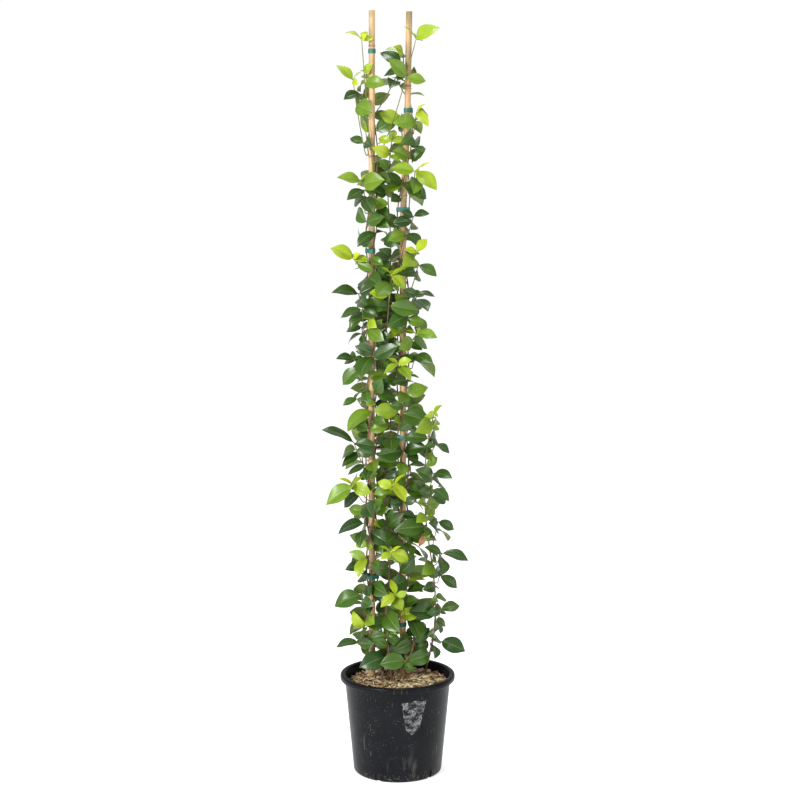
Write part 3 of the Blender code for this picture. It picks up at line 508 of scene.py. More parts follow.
bamboo, place, skin = finish_of("bamboo")
z = place.axes()[2]
fibre = place.noise(420.0, 3.0, (1, 1, 0.02))
cloud = place.noise(7.0, 4.0)
rind = (fibre * 0.65 + cloud * 0.35).ramp(
    (0.30, (0.46, 0.27, 0.105)), (0.5, (0.66, 0.43, 0.20)), (0.72, (0.84, 0.62, 0.34)))
rust = place.noise(15.0, 5.0, (1, 1, 0.45)).between(0.47, 0.64) * 0.62
moss = (place.noise(26.0, 6.0, (1, 1, 0.5)) + z * -0.03).between(0.47, 0.62) * 0.62
stained = moss.mix(rust.mix(rind, (0.40, 0.19, 0.075)), (0.17, 0.155, 0.075))
specks = place.noise(500.0, 2.0, (1, 1, 0.5)).between(0.70, 0.76) * 0.7
rough = place.noise(240.0, 3.0) * 0.5 + 0.45
scarred = (place.attribute("scar") * rough).mix(stained, (0.17, 0.105, 0.055))
speckled = specks.mix(scarred, (0.12, 0.08, 0.045))
ends = place.attribute("pith").mix(speckled, (0.60, 0.47, 0.29))
connect(skin, Base_Color=ends.shaded(place.attribute("shade") * 0.22 + 0.86),
        Roughness=fibre * 0.25 + 0.30 + moss * 0.2, Normal=fibre.bump(0.00016))
for cane, joints in JOINTS.items():
    points, *layers = cane_surface(cane, joints)
    scar, pith, shade = (np.repeat(layer, CANE_SIDES) for layer in layers)
    rod = put_mesh(f"bamboo_{cane}", points.reshape(-1, 3), ring_faces(*points.shape[:2]), 50)
    give(rod, scar=scar, pith=pith, shade=shade)
    seat(rod, bamboo, "bamboo", f"cane_{cane}")


# The leafy stems
# Thin woody stems, brown below and olive above, twine round the canes or hold themselves up. Glossy
# leathery leaves stand on them in opposite pairs, dark on old wood and lime green on the young shoots.
# The rule below sets where each stem and leaf is; a leaf keeps clear of canes, stems and other leaves.

SEED = 32
STEM_RADII = (0.0024, 0.0013)
SHOOT_RADII = (0.0014, 0.0011)
TWINE_RADIUS = CANE_RADIUS + 0.0052
TWINE_PITCH = 0.34
TWINE_START = 0.205
TWINE_BLEND = 0.13
EXTRA_TURN_RISE = 0.28
PATH_STEP = 0.040

# Twining stems as (name, cane, top height, foot x, foot y, extra turn low down in degrees).
TWINING = (
    ("vine_1", "left", 1.475, -0.032, 0.004, 0.0),
    ("vine_2", "left", 1.350, -0.020, 0.018, 95.0),
    ("vine_3", "left", 1.020, -0.034, 0.068, 120.0),
    ("vine_4", "right", 1.500, -0.006, -0.004, 0.0),
    ("vine_5", "right", 1.390, 0.014, 0.006, 120.0),
    ("vine_6", "right", 0.960, 0.006, 0.078, 40.0),
)

# Stems that hold themselves up, as the points that they pass through.
FREE = {
    "vine_7": (
        (-0.014, 0.006, 0.158), (-0.014, 0.006, 0.215), (-0.024, 0.018, 0.32), (-0.016, 0.044, 0.45),
        (-0.028, 0.022, 0.58), (-0.014, 0.040, 0.72), (-0.026, 0.046, 0.86), (-0.018, 0.016, 0.98),
        (-0.014, 0.038, 1.10), (-0.020, 0.030, 1.22), (-0.012, 0.022, 1.31),
    ),
    "vine_8": (
        (0.060, 0.040, 0.158), (0.060, 0.040, 0.205), (0.074, 0.038, 0.265), (0.080, 0.034, 0.34),
        (0.074, 0.026, 0.42), (0.060, 0.016, 0.52), (0.056, 0.012, 0.61), (0.062, 0.014, 0.69),
        (0.078, 0.010, 0.745),
    ),
}

# Side shoots listed as (end x, y, z), (outer leaf's tip x, z) in millimetres, and age: 0 is an old
# dark shoot and 1 a lime one. Each grows from the nearest stem that gives it a clear run.
SHOOTS = (
    ((-72, 22, 1512), (-106, 1524), 1), ((-90, 30, 1432), (-124, 1462), 1),
    ((-74, 34, 1404), (-108, 1392), 0),
    ((37, 18, 1512), (84, 1537), 1), ((8, 14, 1462), (-38, 1488), 0), ((4, 48, 1424), (-27, 1448), 0),
    ((38, 22, 1366), (64, 1340), 1), ((36, 20, 1250), (77, 1210), 1), ((30, 40, 1268), (58, 1296), 0),
    ((-74, 24, 1230), (-123, 1236), 1), ((-68, 16, 1212), (-101, 1190), 0), ((-68, 50, 1306), (-98, 1318), 0),
    ((32, 26, 1158), (66, 1162), 0), ((-90, 26, 1072), (-138, 1092), 1), ((-80, 30, 1000), (-136, 1006), 0),
    ((-72, 16, 968), (-117, 952), 0), ((38, 14, 1086), (62, 1112), 1), ((42, 24, 1060), (80, 1036), 0),
    ((40, 30, 998), (78, 992), 0), ((38, 18, 918), (82, 912), 1), ((-74, 46, 930), (-106, 920), 0),
    ((-92, 28, 868), (-126, 866), 0), ((36, 40, 872), (72, 856), 0), ((-78, 20, 850), (-113, 812), 0),
    ((-84, 34, 782), (-114, 770), 0), ((-90, 20, 692), (-156, 720), 0), ((-76, 48, 668), (-117, 636), 0),
    ((74, 6, 752), (92, 774), 1), ((78, 12, 690), (108, 672), 0), ((76, 24, 627), (114, 622), 0),
    ((72, 2, 598), (106, 574), 0), ((-92, 22, 602), (-150, 562), 1), ((-76, 44, 583), (-111, 548), 0),
    ((-68, 14, 523), (-124, 500), 0), ((92, 14, 460), (148, 440), 0), ((84, 32, 523), (118, 504), 0),
    ((88, 24, 410), (123, 381), 0), ((-76, 20, 371), (-131, 341), 0), ((-78, 44, 428), (-111, 420), 0),
    ((90, 30, 334), (132, 338), 0), ((90, 24, 268), (142, 250), 0), ((-82, 30, 262), (-130, 252), 0),
    ((-10, -22, 610), (18, 580), 1), ((-14, -24, 470), (22, 452), 1), ((-4, -26, 380), (-34, 356), 1),
    ((2, -10, 860), (-28, 838), 1), ((-12, -12, 1040), (14, 1012), 1),
)
# Where tape ties the stems to a cane, as (cane, height).
TAPED = (("left", 1.490), ("left", 1.088), ("left", 0.405), ("right", 1.372), ("right", 1.262),
         ("right", 1.172), ("right", 0.700), ("right", 0.300))

# Leaves, the middle of the column that they fill, and the clearance kept round each of them.
NODE_SPACING = 0.094
LEAF_LENGTH = 0.065
LEAF_ASPECT = 0.60
AGES = (0.05, 0.12, 0.22, 0.34, 0.55)
AGE_SHARES = (0.3, 0.25, 0.2, 0.15, 0.10)
COLUMN = (-0.016, 0.038)
TRIES = 16
GUARD = 0.0013
SHOOT_GAP = 0.0006
# How far the leaves reach from the pot's axis, at heights from the soil to the top.
REACH_AT = (0.20, 0.30, 0.45, 0.65, 0.85, 1.10, 1.35, 1.60)
REACH_LEFT = (-0.090, -0.112, -0.116, -0.116, -0.104, -0.090, -0.084, -0.075)
REACH_RIGHT = (0.100, 0.104, 0.112, 0.100, 0.076, 0.066, 0.056, 0.060)
REACH_FRONT = (-0.075, -0.080, -0.080, -0.070, -0.055, -0.045, -0.035, -0.030)
REACH_BACK = (0.110, 0.120, 0.125, 0.120, 0.110, 0.100, 0.085, 0.070)
LEAF_ROWS = (0.03, 0.14, 0.32, 0.66, 1.0)
LEAF_ROW_WIDTHS = (0.08, 0.42, 0.92, 0.88, 0.0)


def unit(vector):
    return vector / np.linalg.norm(vector)


def smooth_step(value):
    share = np.clip(value, 0, 1)
    return share * share * (3 - 2 * share)


def twining_path(cane, top, foot_x, foot_y, extra):
    """A foot in the soil, then a helix that closes in on the cane as it climbs."""
    heights = np.append(SOIL_TOP - 0.020, np.arange(TWINE_START, top, PATH_STEP))
    points = []
    for z in heights:
        axis = cane_axis(cane, max(z, SOIL_TOP))
        offset = np.array([foot_x, foot_y]) - cane_axis(cane, SOIL_TOP)[:2]
        climb = max(z - TWINE_START, 0)
        angle = math.atan2(offset[1], offset[0]) + 2 * math.pi * climb / TWINE_PITCH
        angle += math.radians(extra) * smooth_step(climb / EXTRA_TURN_RISE)
        share = smooth_step(climb / TWINE_BLEND)
        radius = (1 - share) * np.hypot(*offset) + share * TWINE_RADIUS
        points.append((axis[0] + radius * math.cos(angle), axis[1] + radius * math.sin(angle), z))
    return np.array(points)


def points_at(path, distances):
    """The points that lie at these distances along the path."""
    along = lengths_along(path)
    return np.stack([np.interp(distances, along, path[:, k]) for k in range(path.shape[1])], axis=-1)


def lengths_along(path):
    """The distance along the path to each of its points."""
    return np.concatenate([[0], np.cumsum(np.linalg.norm(np.diff(path, axis=0), axis=1))])


def finer(path, steps):
    """A Catmull-Rom curve through the points, with the given number of steps between each two."""
    path = np.array(path, float)
    padded = np.vstack([2 * path[0] - path[1], path, 2 * path[-1] - path[-2]])
    t = np.linspace(0, 1, steps, endpoint=False)[None, :, None]
    a, b, c, d = (padded[k:len(padded) - 3 + k, None] for k in range(4))
    squared = (2 * a - 5 * b + 4 * c - d) * t**2
    cubed = (3 * b - a - 3 * c + d) * t**3
    curve = 0.5 * (2 * b + (c - a) * t + squared + cubed)
    return np.vstack([curve.reshape(-1, 3), path[-1:]])


def smooth_path(points):
    """A smooth curve through the points, cut into even steps."""
    curve = finer(points, 12)
    length = lengths_along(curve)[-1]
    return points_at(curve, np.linspace(0, length, max(3, round(length / PATH_STEP) + 1)))


def rings_round(path, radius, sides):
    """Points round a path: a ring for each of its points, square to it, of the radius given there."""
    run = np.gradient(path, axis=0)
    first = np.cross(run, (0.31, 0.95, 0.02))
    first /= np.linalg.norm(first, axis=1)[:, None]
    second = np.cross(run, first)
    second /= np.linalg.norm(second, axis=1)[:, None]
    angle = (2 * math.pi * np.arange(sides) / sides)[:, None]
    return path[:, None] + radius * (np.cos(angle) * first[:, None] + np.sin(angle) * second[:, None])


def blade_axes(heading, facing):
    """The blade's side and upper-face directions: as near as they can be to facing."""
    side = unit(np.cross(facing, heading))
    return side, np.cross(heading, side)


def blade_point(leaf, u, v, width, lift):
    """A point of the arched, folded blade: u from root to tip, v across, lift off its face."""
    bend = leaf["bend"]
    turn = bend * u
    heading, up = leaf["heading"], leaf["up"]
    middle = leaf["root"] + leaf["length"] / bend * (math.sin(turn) * heading - (1 - math.cos(turn)) * up)
    normal = up * math.cos(turn) + heading * math.sin(turn)
    spread, raised = v * width * math.cos(leaf["fold"]), abs(v) * width * math.sin(leaf["fold"])
    across = spread * leaf["side"] + raised * normal
    return middle + across + lift * normal


def guard_tree(leaf, first):
    """A search tree of a shell a little larger than the blade, from the given row to the tip."""
    points = []
    for lift in (GUARD, -GUARD):
        for u, share in zip(LEAF_ROWS[first:], LEAF_ROW_WIDTHS[first:]):
            width = share * leaf["width"] / 2 + GUARD
            points += [blade_point(leaf, u, v, width, lift) for v in (-1, 0, 1)]
    rows = len(LEAF_ROWS) - first
    faces = []
    for layer in (0, 3 * rows):
        for row in range(rows - 1):
            for k in (0, 1):
                a = layer + 3 * row + k
                faces.append((a, a + 1, a + 4, a + 3))
    faces += [(3 * r + k, 3 * r + k + 3, 3 * (rows + r) + k + 3, 3 * (rows + r) + k)
              for r in range(rows - 1) for k in (0, 2)]
    return BVHTree.FromPolygons([list(p) for p in points], faces), np.array(points)


def tube_tree(path, radius):
    """A search tree of an eight-sided tube along the path."""
    points = rings_round(np.asarray(path), 1.08 * radius, 8).reshape(-1, 3)
    return BVHTree.FromPolygons([list(p) for p in points], ring_faces(len(path), 8, caps=False))


def in_reach(points, slack):
    """True where no point leaves the column that the foliage fills, or comes near the chips or the rim."""
    x, y, z = points.T
    left, right = np.interp(z, REACH_AT, REACH_LEFT), np.interp(z, REACH_AT, REACH_RIGHT)
    front, back = np.interp(z, REACH_AT, REACH_FRONT), np.interp(z, REACH_AT, REACH_BACK)
    inside = (x > left - slack) & (x < right + slack) & (y > front - slack) & (y < back + slack)
    return bool(inside.all() and (z > 0.204).all() and ((z > 0.216) | (np.hypot(x, y) < 0.092)).all())


def place_leaf(world, stem, leaf, slack=0.0):
    """Adds the leaf unless its guard leaves the column or meets a cane, a tie, a stem or a leaf."""
    tree, points = guard_tree(leaf, 0)
    if not in_reach(points, slack):
        return False
    outer = guard_tree(leaf, 1)[0]
    centre = points.mean(axis=0)
    for name, other in world["tubes"]:
        if name != stem["name"] and tree.overlap(other):
            return False
    for root, other_centre, other_tree, other_outer in world["leaves"]:
        if np.linalg.norm(other_centre - centre) < 0.085:
            twin = np.linalg.norm(root - leaf["root"]) < 0.004
            if outer.overlap(other_outer) if twin else tree.overlap(other_tree):
                return False
    world["leaves"].append((leaf["root"], centre, tree, outer))
    stem["leaves"].append(leaf)
    return True


def pointing(turn, rise):
    """The direction at this angle about Z and this angle above the level."""
    return np.array([math.cos(rise) * math.cos(turn), math.cos(rise) * math.sin(turn), math.sin(rise)])


def new_leaf(root, heading, facing, length, bend, age, rng):
    side, up = blade_axes(heading, facing)
    return {"root": root, "heading": heading, "side": side, "up": up, "length": length, "bend": bend,
            "width": length * LEAF_ASPECT * rng.uniform(0.88, 1.1), "fold": rng.uniform(0.10, 0.34),
            "age": age, "seed": rng.randint(1000)}


def leaf_pair(world, stem, root, azimuths, length, age, rng, slack=0.0):
    """Two opposite leaves at one joint; each tries again, turned and shortened, until it finds room."""
    for azimuth, shift in zip(azimuths, (-0.0006, 0.0006)):
        for attempt in range(TRIES):
            spread = 0.25 + 0.06 * attempt
            turn = azimuth + rng.uniform(-spread, spread)
            rise = rng.uniform(-0.25, 0.60)
            heading = pointing(turn, rise)
            out = (root + 0.03 * heading)[:2] - COLUMN
            front = 1.4 * np.clip(out[1] / 0.02 - 0.35, -1, 1)
            facing = unit(np.array([12 * out[0], front, rng.uniform(0.25, 0.9)]) + rng.uniform(-0.3, 0.3, 3))
            if abs(facing @ heading) > 0.93:
                continue
            size = length * rng.uniform(0.85, 1.15) * (1 - 0.02 * attempt)
            leaf = new_leaf(root + (0, 0, shift), heading, facing, size, rng.uniform(0.35, 1.35), age, rng)
            if place_leaf(world, stem, leaf, slack):
                break


def outer_leaf(root, tip, age, rng):
    """A leaf from root to a listed tip: its chord is given, and it arches above it."""
    chord = tip - root
    bend = rng.uniform(0.45, 1.15)
    facing = unit(np.array([rng.uniform(-0.2, 0.2), rng.uniform(-1.5, -0.4), 1.0]))
    side, up = blade_axes(unit(chord), facing)
    heading = math.cos(bend / 2) * unit(chord) + math.sin(bend / 2) * up
    length = np.linalg.norm(chord) * (bend / 2) / math.sin(bend / 2)
    return new_leaf(root, heading, facing, length, bend, age, rng)


def shoot_path(start, run, end, bark):
    """A side shoot: square out from the stem, then up. A young one starts clear of the bark.

    bark is the radius to the corners of the four-sided stem, whose sides are nearer than that.
    """
    away = end - start
    away = unit(away - (away @ run) * run)
    clear = 0.0
    if bark:
        first = unit(np.cross(run, (0.31, 0.95, 0.02)))
        turn = math.atan2(away @ np.cross(run, first), away @ first)
        off_flat = (turn + math.pi / 4) % (math.pi / 2) - math.pi / 4
        clear = bark * math.cos(math.pi / 4) / math.cos(off_flat) + SHOOT_GAP
    base = start + 0.007 * away
    middle = 0.55 * base + 0.45 * end
    middle[2] = base[2] + 0.3 * (end[2] - base[2])
    t = np.array([0, 0.4, 0.75, 1.0])[:, None]
    curve = (1 - t) ** 2 * base + 2 * t * (1 - t) * middle + t**2 * end
    return np.vstack([start + clear * away, curve])


def best_shoot(world, stems, end, young):
    """The shortest side shoot to the end point that runs clear of canes, ties, stems and leaves."""
    options = []
    for stem in stems:
        if stem["parent"] is None:
            for i in range(3, len(stem["path"]) - 1):
                if taped(stem, stem["path"][i][2]):
                    continue
                gap = np.linalg.norm(stem["path"][i] - (end - (0, 0, 0.030)))
                options.append((gap, len(options), stem, i))
    for _, _, parent, i in sorted(options)[:24]:
        run = unit(parent["path"][i + 1] - parent["path"][i - 1])
        radius = np.interp(i, (0, len(parent["path"]) - 1), STEM_RADII)
        path = shoot_path(parent["path"][i], run, end, radius if young else None)
        tree = tube_tree(path[1:], 0.0022)
        first = tube_tree(path[:2], 0.0011)
        others = [other for name, other in world["tubes"] if name != parent["name"]]
        others += [other for _, _, other, _ in world["leaves"]]
        own = dict(world["tubes"])[parent["name"]]
        if not tree.overlap(own) and not any(tree.overlap(other) or first.overlap(other) for other in others):
            return parent, path
    return None, None


def add_shoot(world, stems, number, end, tip, age, rng):
    """A side shoot to a listed point, with an outer leaf, its partner and a pair lower down."""
    end = np.array(end) / 1000.0
    parent, path = best_shoot(world, stems, end, age)
    if parent is None:
        return
    stem = {"name": f"shoot_{number:02d}", "parent": parent["name"], "path": path,
            "radius": SHOOT_RADII, "leaves": [], "age": age}
    stems.append(stem)
    world["tubes"].append((stem["name"], tube_tree(stem["path"], SHOOT_RADII[0])))
    ripeness = 0.62 + 0.3 * rng.rand() if age else 0.25 * rng.rand()
    for attempt in range(TRIES):
        leaf_tip = np.array([tip[0] / 1000.0, end[1] + rng.uniform(-0.030, 0.015), tip[1] / 1000.0])
        leaf_tip += attempt * rng.uniform(-0.0006, 0.0006, 3)
        leaf = outer_leaf(end, leaf_tip, ripeness, rng)
        if place_leaf(world, stem, leaf, slack=0.06):
            break
    start = path[0]
    outward = math.atan2(leaf["heading"][1], leaf["heading"][0])
    partner = 0.75 * min(leaf["length"], LEAF_LENGTH)
    leaf_pair(world, stem, end, [outward + math.pi + 0.9 * rng.choice((-1, 1))], partner, ripeness, rng, 0.02)
    if np.linalg.norm(end - start) > 0.030:
        lower = stem["path"][-2]
        azimuths = [outward + 1.3, outward - 1.3]
        leaf_pair(world, stem, lower, azimuths, 0.85 * LEAF_LENGTH, 0.7 * ripeness, rng, 0.01)
    if age:
        bud = end + 0.001 * unit(path[-1] - path[-2])
        leaf_pair(world, stem, bud, [outward + 1.2], 0.024, 0.97, rng, 0.03)


def taped(stem, z):
    """True where a tie goes round the stem, so that nothing can grow out of it."""
    return any(stem["cane"] == cane and abs(z - tie) < 0.011 for cane, tie in TAPED)


def dress_stem(world, stem, rng):
    """Opposite pairs of leaves up the stem, each pair turned a quarter from the last."""
    length_in_all = lengths_along(stem["path"])[-1]
    places = np.arange(0.055 + 0.03 * rng.rand(), length_in_all, NODE_SPACING)
    quarter = rng.uniform(0, math.pi)
    for count, place in enumerate([*places, length_in_all]):
        root = points_at(stem["path"], place)
        if taped(stem, root[2]):
            continue
        height = (root[2] - SOIL_TOP) / 1.35
        age = min(1.0, rng.choice(AGES, p=AGE_SHARES) + 0.12 * height)
        length = LEAF_LENGTH * (1.06 - 0.20 * height)
        if stem["cane"]:
            away = root - cane_axis(stem["cane"], root[2])
            outward = math.atan2(away[1], away[0])
            spread = 0.95 if count % 2 else 1.5
            azimuths = [outward + spread, outward - spread]
        else:
            quarter += math.pi / 2
            azimuths = [quarter, quarter + math.pi]
        if place == length_in_all:
            age, length = 0.8, 0.036
        leaf_pair(world, stem, root, azimuths, length, age, rng)


def grow():
    """Every stem with its leaves: twining stems, free stems, then side shoots, then leaves on all."""
    rng = np.random.RandomState(SEED)
    stems = [{"name": name, "cane": cane, "parent": None, "path": twining_path(cane, *shape),
              "radius": STEM_RADII, "leaves": [], "age": 0} for name, cane, *shape in TWINING]
    stems += [{"name": name, "cane": None, "parent": None, "path": smooth_path(points),
               "radius": STEM_RADII, "leaves": [], "age": 0} for name, points in FREE.items()]
    world = {"tubes": [(stem["name"], tube_tree(stem["path"], 0.0022)) for stem in stems], "leaves": []}
    for cane in CANES:
        axis = [cane_axis(cane, z) for z in np.arange(0.16, 1.59, 0.04)]
        world["tubes"].append((cane, tube_tree(axis, CANE_RADIUS)))
    for cane, z in TAPED:
        ends = [cane_axis(cane, z - 0.006), cane_axis(cane, z + 0.006)]
        world["tubes"].append((f"tie {z}", tube_tree(ends, 0.0165)))
    main = list(stems)
    for number, (end, tip, age) in enumerate(SHOOTS, 1):
        add_shoot(world, stems, number, end, tip, age, rng)
    for stem in main:
        dress_stem(world, stem, rng)
    return stems, world


FILL_SPACING = 0.026
FILL_LENGTH = 0.046
FILL_AGES = (0.06, 0.25, 0.45, 0.72)
FILL_SHARES = (0.3, 0.27, 0.25, 0.18)
TIP_LEAVES = 4
WITHERED_LEVEL = 0.53


def fill_in(world, stems, rng):
    """Smaller leaves between the large ones: a pair halfway between joints, where there is room."""
    for stem in [stem for stem in stems if stem["parent"] is None]:
        places = np.arange(0.075, lengths_along(stem["path"])[-1] - 0.01, FILL_SPACING)
        for count, root in enumerate(points_at(stem["path"], places)):
            if taped(stem, root[2]):
                continue
            out = root[:2] - (cane_axis(stem["cane"], root[2])[:2] if stem["cane"] else COLUMN)
            outward = math.atan2(out[1], out[0])
            spread = 0.7 if count % 2 else 1.35
            age = rng.choice(FILL_AGES, p=FILL_SHARES)
            leaf_pair(world, stem, root, [outward + spread, outward - spread], FILL_LENGTH, age, rng)


def open_bud(world, stem, rng):
    """Small narrow upright leaves round the stem's tip."""
    for k in range(TIP_LEAVES):
        for attempt in range(TRIES):
            turn = 2 * math.pi * (k + rng.uniform(-0.35, 0.35)) / TIP_LEAVES
            rise = rng.uniform(0.45, 1.15)
            heading = pointing(turn, rise)
            facing = unit(np.array([-math.cos(turn), -math.sin(turn) - 0.6, 0.6]))
            length = rng.uniform(0.024, 0.042) * (1 - 0.02 * attempt)
            bud = stem["path"][-1] + 0.0012 * unit(stem["path"][-1] - stem["path"][-2])
            leaf = new_leaf(bud, heading, facing, length, rng.uniform(0.3, 0.9), rng.uniform(0.72, 1.0), rng)
            leaf["width"] *= 0.72
            if place_leaf(world, stem, leaf, 0.03):
                break


def hang_withered(world, stem, level, rng):
    """One dead leaf, brown and narrow, that hangs from the stem at the given height."""
    root = stem["path"][np.argmin(np.abs(stem["path"][:, 2] - level))]
    for _ in range(4 * TRIES):
        heading = unit(np.array([rng.uniform(-0.4, 0.5), rng.uniform(-0.7, 0.1), -1.0]))
        leaf = new_leaf(root, heading, np.array([0.2, -1.0, 0.1]), 0.044, 0.5, 0.0, rng)
        leaf["width"] *= 0.55
        leaf["dry"] = 1.0
        if place_leaf(world, stem, leaf):
            break


stems, world = grow()
chance = np.random.RandomState(7)
hang_withered(world, next(stem for stem in stems if stem["name"] == "vine_8"), WITHERED_LEVEL, chance)
for stem in stems:
    if stem["age"] or stem["parent"] is None:
        open_bud(world, stem, chance)
fill_in(world, stems, chance)

# A round stem's radius as a share of the rule's, then the places across and along a blade.
STEM_ROUND = 0.84
STEM_RING = 8
ACROSS = np.array([-1, -0.62, -0.16, 0, 0.16, 0.62, 1])
ROWS = np.concatenate([[0, 0.03, 0.06], 0.06 + 0.94 * np.linspace(0, 1, 12)[1:] ** 0.95])
BLADE_HALF = 0.00022
STALK_HALF = 0.0008


def stem_surface(stem):
    """A tube along the stem's path: it thins to its tip and swells a little where leaves join it."""
    path = stem["path"].copy()
    if stem["age"]:
        path[0] = path[1] - 0.007 * unit(path[1] - path[0])
    path[-1] += 0.0015 * unit(path[-1] - path[-2])
    path = finer(path, 5)
    radius = STEM_ROUND * np.linspace(*stem["radius"], len(path))
    roots = np.array([leaf["root"] for leaf in stem["leaves"]]).reshape(-1, 3)
    if len(roots):
        apart = np.linalg.norm(path[:, None] - roots[None], axis=2).min(axis=1)
        radius = radius * (1 + 0.35 * np.exp(-((apart / 0.004) ** 2)))
    radius[-1] *= 0.5
    return rings_round(path, radius[:, None, None], STEM_RING)


def blade_surfaces(leaves):
    """Every leaf as rings that go across its upper face and back across its lower one.

    Half-width: the sine of pi times the way along, raised to a power that grows towards the tip, so the
    tip is drawn to a point; under 6% of the way it is the stalk. Lift: up from the midrib like a V whose
    arms bow over, with a slow wave along each margin, a groove on the midrib above and a rib below.
    """
    length, bend, width, fold, seed, heading, up, side, root = (
        np.array([leaf[key] for leaf in leaves])[:, None, None]
        for key in ("length", "bend", "width", "fold", "seed", "heading", "up", "side", "root"))
    seed = seed * 0.618
    v = np.concatenate([ACROSS, ACROSS[::-1]])[None, None, :]
    face = np.concatenate([np.ones(len(ACROSS)), -np.ones(len(ACROSS))])[None, None, :]
    u = ROWS[None, :, None]
    s = np.clip((u - 0.06) / 0.94, 0, 1)
    shape = np.sin(np.pi * s**(0.88 + 0.1 * np.sin(seed))) ** (0.70 + 0.34 * s)
    half = np.maximum(0.5 * width * shape, STALK_HALF * (1 - smooth_step(s * 6)) + 0.0001)
    wave = 0.035 * width * np.sin(9 * u + seed + 1.3 * np.sign(v)) * v**2 * shape
    lift = half * (np.sin(fold) * (1.35 * np.abs(v) - 0.55 * v**2)) + wave
    thick = BLADE_HALF + (STALK_HALF - BLADE_HALF) * (1 - smooth_step(s * 9))
    rib = np.exp(-((v / 0.1) ** 2)) * (1 - s)
    margin = np.where(np.abs(v) > 0.99, 0.4, 1.0)
    lift = lift + face * thick * margin - rib * np.where(face > 0, 0.00025, 0.0005)
    turn = bend * u
    sway = 0.06 * length * np.sin(seed * 3) * u**2
    sin, cos = np.sin(turn)[..., None], np.cos(turn)[..., None]
    middle = root + (length / bend)[..., None] * (sin * heading - (1 - cos) * up)
    normal = up * cos + heading * sin
    points = middle + (v * half * np.cos(fold) + sway)[..., None] * side + lift[..., None] * normal
    spots = np.stack([np.broadcast_to(values, points.shape[:3]) for values in (u, v, face < 0)], axis=3)
    return points, spots.astype(float)


def capped(start, rings, sides):
    """A tube's faces, with a small flat one at each end, for points that begin at the given number."""
    return [[start + corner for corner in face] for face in ring_faces(rings, sides)]


bark, place, skin = finish_of("bark", 0.6)
young = place.attribute("young")
cloud = place.noise(60.0, 4.0)
old = place.noise(300.0, 4.0).ramp((0.3, (0.085, 0.042, 0.022)), (0.7, (0.21, 0.115, 0.065)))
green = cloud.ramp((0.3, (0.12, 0.12, 0.025)), (0.7, (0.20, 0.26, 0.045)))
connect(skin, Base_Color=(young + cloud * 0.5 - 0.25).between(0.25, 0.75).mix(old, green),
        Normal=place.noise(500.0, 3.0).bump(0.0002))


# Leaf colours from a dark old leaf, 0, to a lime young one, 1.
GREENS = ((0.00, (0.020, 0.060, 0.006)), (0.25, (0.042, 0.112, 0.007)), (0.50, (0.110, 0.215, 0.007)),
          (0.75, (0.28, 0.41, 0.010)), (1.00, (0.47, 0.58, 0.020)))


def leaf_finish(name, gloss):
    """Leaf green by age: veins from the place on the blade, clouds over all, a paler matt underside.

    A leaf whose dry layer is 1 is brown.
    """
    made, place, skin = finish_of(name, Specular_IOR_Level=0.38, Coat_Weight=0.22, Coat_Roughness=0.24)
    along, across, under = place.attribute("spot", out=1).axes()
    age, tint = place.attribute("age"), place.attribute("tint")
    cloud = place.noise(55.0, 4.0)
    green = (age + (cloud - 0.5) * 0.22).ramp(*GREENS)
    hue = tint.mix((0.82, 0.96, 1.5), (1.2, 1.03, 0.7))
    hued = green.node("VectorMath", {"operation": "MULTIPLY"}, {0: green, 1: hue})
    rib = abs(across).between(0.075, 0.02)
    slant = along * 9.5 - abs(across) * 1.5
    vein = abs(slant.maths("FRACT") - 0.5).between(0.075, 0.015) * abs(across).between(0.98, 0.7)
    paler = (rib * 0.30 + vein * 0.13).mix(hued.shaded(tint * 0.35 + 0.82), (0.30, 0.40, 0.10))
    below = under.maths("GREATER_THAN", 0.5)
    matt = (below * 0.75).mix(paler, (0.17, 0.245, 0.055))
    height = (rib + vein * 0.6) * -1.0 + place.noise(260.0, 2.0) * 0.3
    dead = cloud.ramp((0.3, (0.22, 0.085, 0.028)), (0.7, (0.42, 0.20, 0.075)))
    connect(skin, Base_Color=place.attribute("dry").mix(matt, dead),
            Roughness=cloud * 0.16 + gloss + below * 0.25, Normal=height.bump(0.00015))
    return made


leaf_green = leaf_finish("leaf_green", 0.24)
leaf_lime = leaf_finish("leaf_lime", 0.34)

for bearer in [stem for stem in stems if stem["parent"] is None or stem["age"]]:
    own = [stem for stem in stems if stem is bearer or (stem["parent"] == bearer["name"] and not stem["age"])]
    node, young = bearer["name"], bool(bearer["age"])
    slot = "young_foliage" if young else "foliage"
    points, faces, green, start = [], [], [], 0
    for stem in own:
        tube = stem_surface(stem)
        faces += capped(start, len(tube), STEM_RING)
        base = 0.75 if stem["age"] else 0.45 if stem["parent"] else 0.0
        gain = 0.25 if stem["parent"] else 0.55
        green.append(np.repeat(base + gain * np.linspace(0, 1, len(tube)) ** 2, STEM_RING))
        points.append(tube.reshape(-1, 3))
        start += len(points[-1])
    stalk = put_mesh(f"{node}_stem", np.vstack(points), faces)
    give(stalk, young=np.concatenate(green))
    seat(stalk, bark, slot, node)
    leaves = [leaf for stem in own for leaf in stem["leaves"]]
    points, spots = blade_surfaces(leaves)
    rows, ring = points.shape[1:3]
    faces = [face for k in range(len(leaves)) for face in capped(k * rows * ring, rows, ring)]
    blades = put_mesh(f"{node}_leaves", points.reshape(-1, 3), faces, 70)
    layers = [(leaf["age"], leaf["seed"] * 0.001, leaf.get("dry", 0.0)) for leaf in leaves]
    age, tint, dry = np.repeat(layers, rows * ring, axis=0).T
    give(blades, spot=spots.reshape(-1, 3), age=age, tint=tint, dry=dry)
    seat(blades, leaf_lime if young else leaf_green, slot, node)
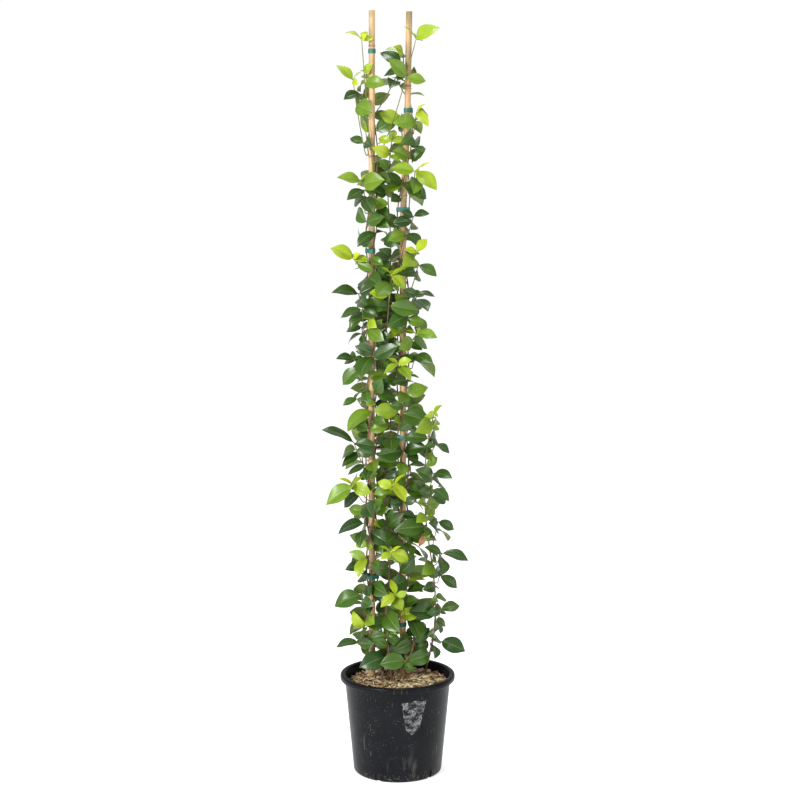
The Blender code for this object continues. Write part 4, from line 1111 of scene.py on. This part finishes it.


# The ties
# Green plant tape, 9 mm wide and under a millimetre thick, drawn once round a cane and the stems that
# lean on it. The tape is creased, with painted shade darkening its folds, and bows out a little between its
# edges.

TAPE_HEIGHT = 0.0092
TAPE_THICK = 0.0008
TAPE_POINTS = 60
# Once round the tape's cross-section: inside face, then the outside face, which bows a little.
SECTION = ((0.0, -0.5), (0.0, 0.5), (0.85, 0.5), (1.15, 0.2), (1.15, -0.2), (0.85, -0.5))


def hull_of(points):
    """The convex outline of points in the plane, anticlockwise, by the monotone chain."""
    order = points[np.lexsort((points[:, 1], points[:, 0]))]
    chain = []
    for run in (order, order[::-1]):
        half = []
        for p in run:
            while len(half) > 1 and np.cross(half[-1] - half[-2], p - half[-2]) <= 0:
                half.pop()
            half.append(p)
        chain += half[:-1]
    return np.array(chain)


tape, place, skin = finish_of("tape", 0.45)
# Painted shade: this noise makes the creases, and the tape's colour is darkest where it dips into them.
crease_and_fold_shade = place.noise(300.0, 4.0, (1, 1, 2.5))
connect(skin, Base_Color=crease_and_fold_shade.ramp((0.3, (0.008, 0.085, 0.062)), (0.7, (0.035, 0.22, 0.155))),
        Normal=crease_and_fold_shade.bump(0.0004))
for number, (cane, level) in enumerate(TAPED, 1):
    axis = cane_axis(cane, level)
    rounds = [(axis[:2], cane_radius(cane, level) + 0.0004)]
    for stem in stems:
        if stem.get("cane") == cane and level + 0.005 < stem["path"][-1][2]:
            path = stem["path"]
            radii = np.linspace(*stem["radius"], len(path))
            for z in (level - 0.0045, level, level + 0.0045):
                spot = np.array([np.interp(z, path[:, 2], path[:, k]) for k in (0, 1)])
                if np.linalg.norm(spot - axis[:2]) < TWINE_RADIUS + 0.002:
                    rounds.append((spot, np.interp(z, path[:, 2], radii) + 0.0003))
    angle = 2 * math.pi * np.arange(40) / 40
    circle = np.stack([np.cos(angle), np.sin(angle)], axis=1)
    outline = hull_of(np.vstack([centre + radius * circle for centre, radius in rounds]))
    closed = np.vstack([outline, outline[:1]])
    even = np.linspace(0, lengths_along(closed)[-1], TAPE_POINTS, endpoint=False)
    inner = points_at(closed, even)
    run = np.roll(inner, -1, axis=0) - np.roll(inner, 1, axis=0)
    away = np.stack([run[:, 1], -run[:, 0]], axis=1) / np.linalg.norm(run, axis=1)[:, None]
    wobble = 0.0004 * np.sin(5 * even / even[-1] * 2 * math.pi + number)
    loops = []
    for out, rise in SECTION:
        flat = inner + away * out * TAPE_THICK
        loops.append(np.column_stack([flat, level + rise * TAPE_HEIGHT + wobble * (1 if rise > 0 else -1)]))
    points = np.stack(loops, axis=1)
    count, sides = points.shape[:2]
    k, j = np.meshgrid(np.arange(count), np.arange(sides), indexing="ij")
    after_k, after_j = (k + 1) % count, (j + 1) % sides
    corners = ((k, j), (after_k, j), (after_k, after_j), (k, after_j))
    faces = np.stack([a * sides + b for a, b in corners], axis=2)
    band = put_mesh(f"tape_{number}", points.reshape(-1, 3), faces.reshape(-1, 4).tolist(), 50)
    shape = bmesh.new()
    shape.from_mesh(band.data)
    bmesh.ops.recalc_face_normals(shape, faces=shape.faces)
    shape.to_mesh(band.data)
    shape.free()
    seat(band, tape, "tape", f"tie_{number}")
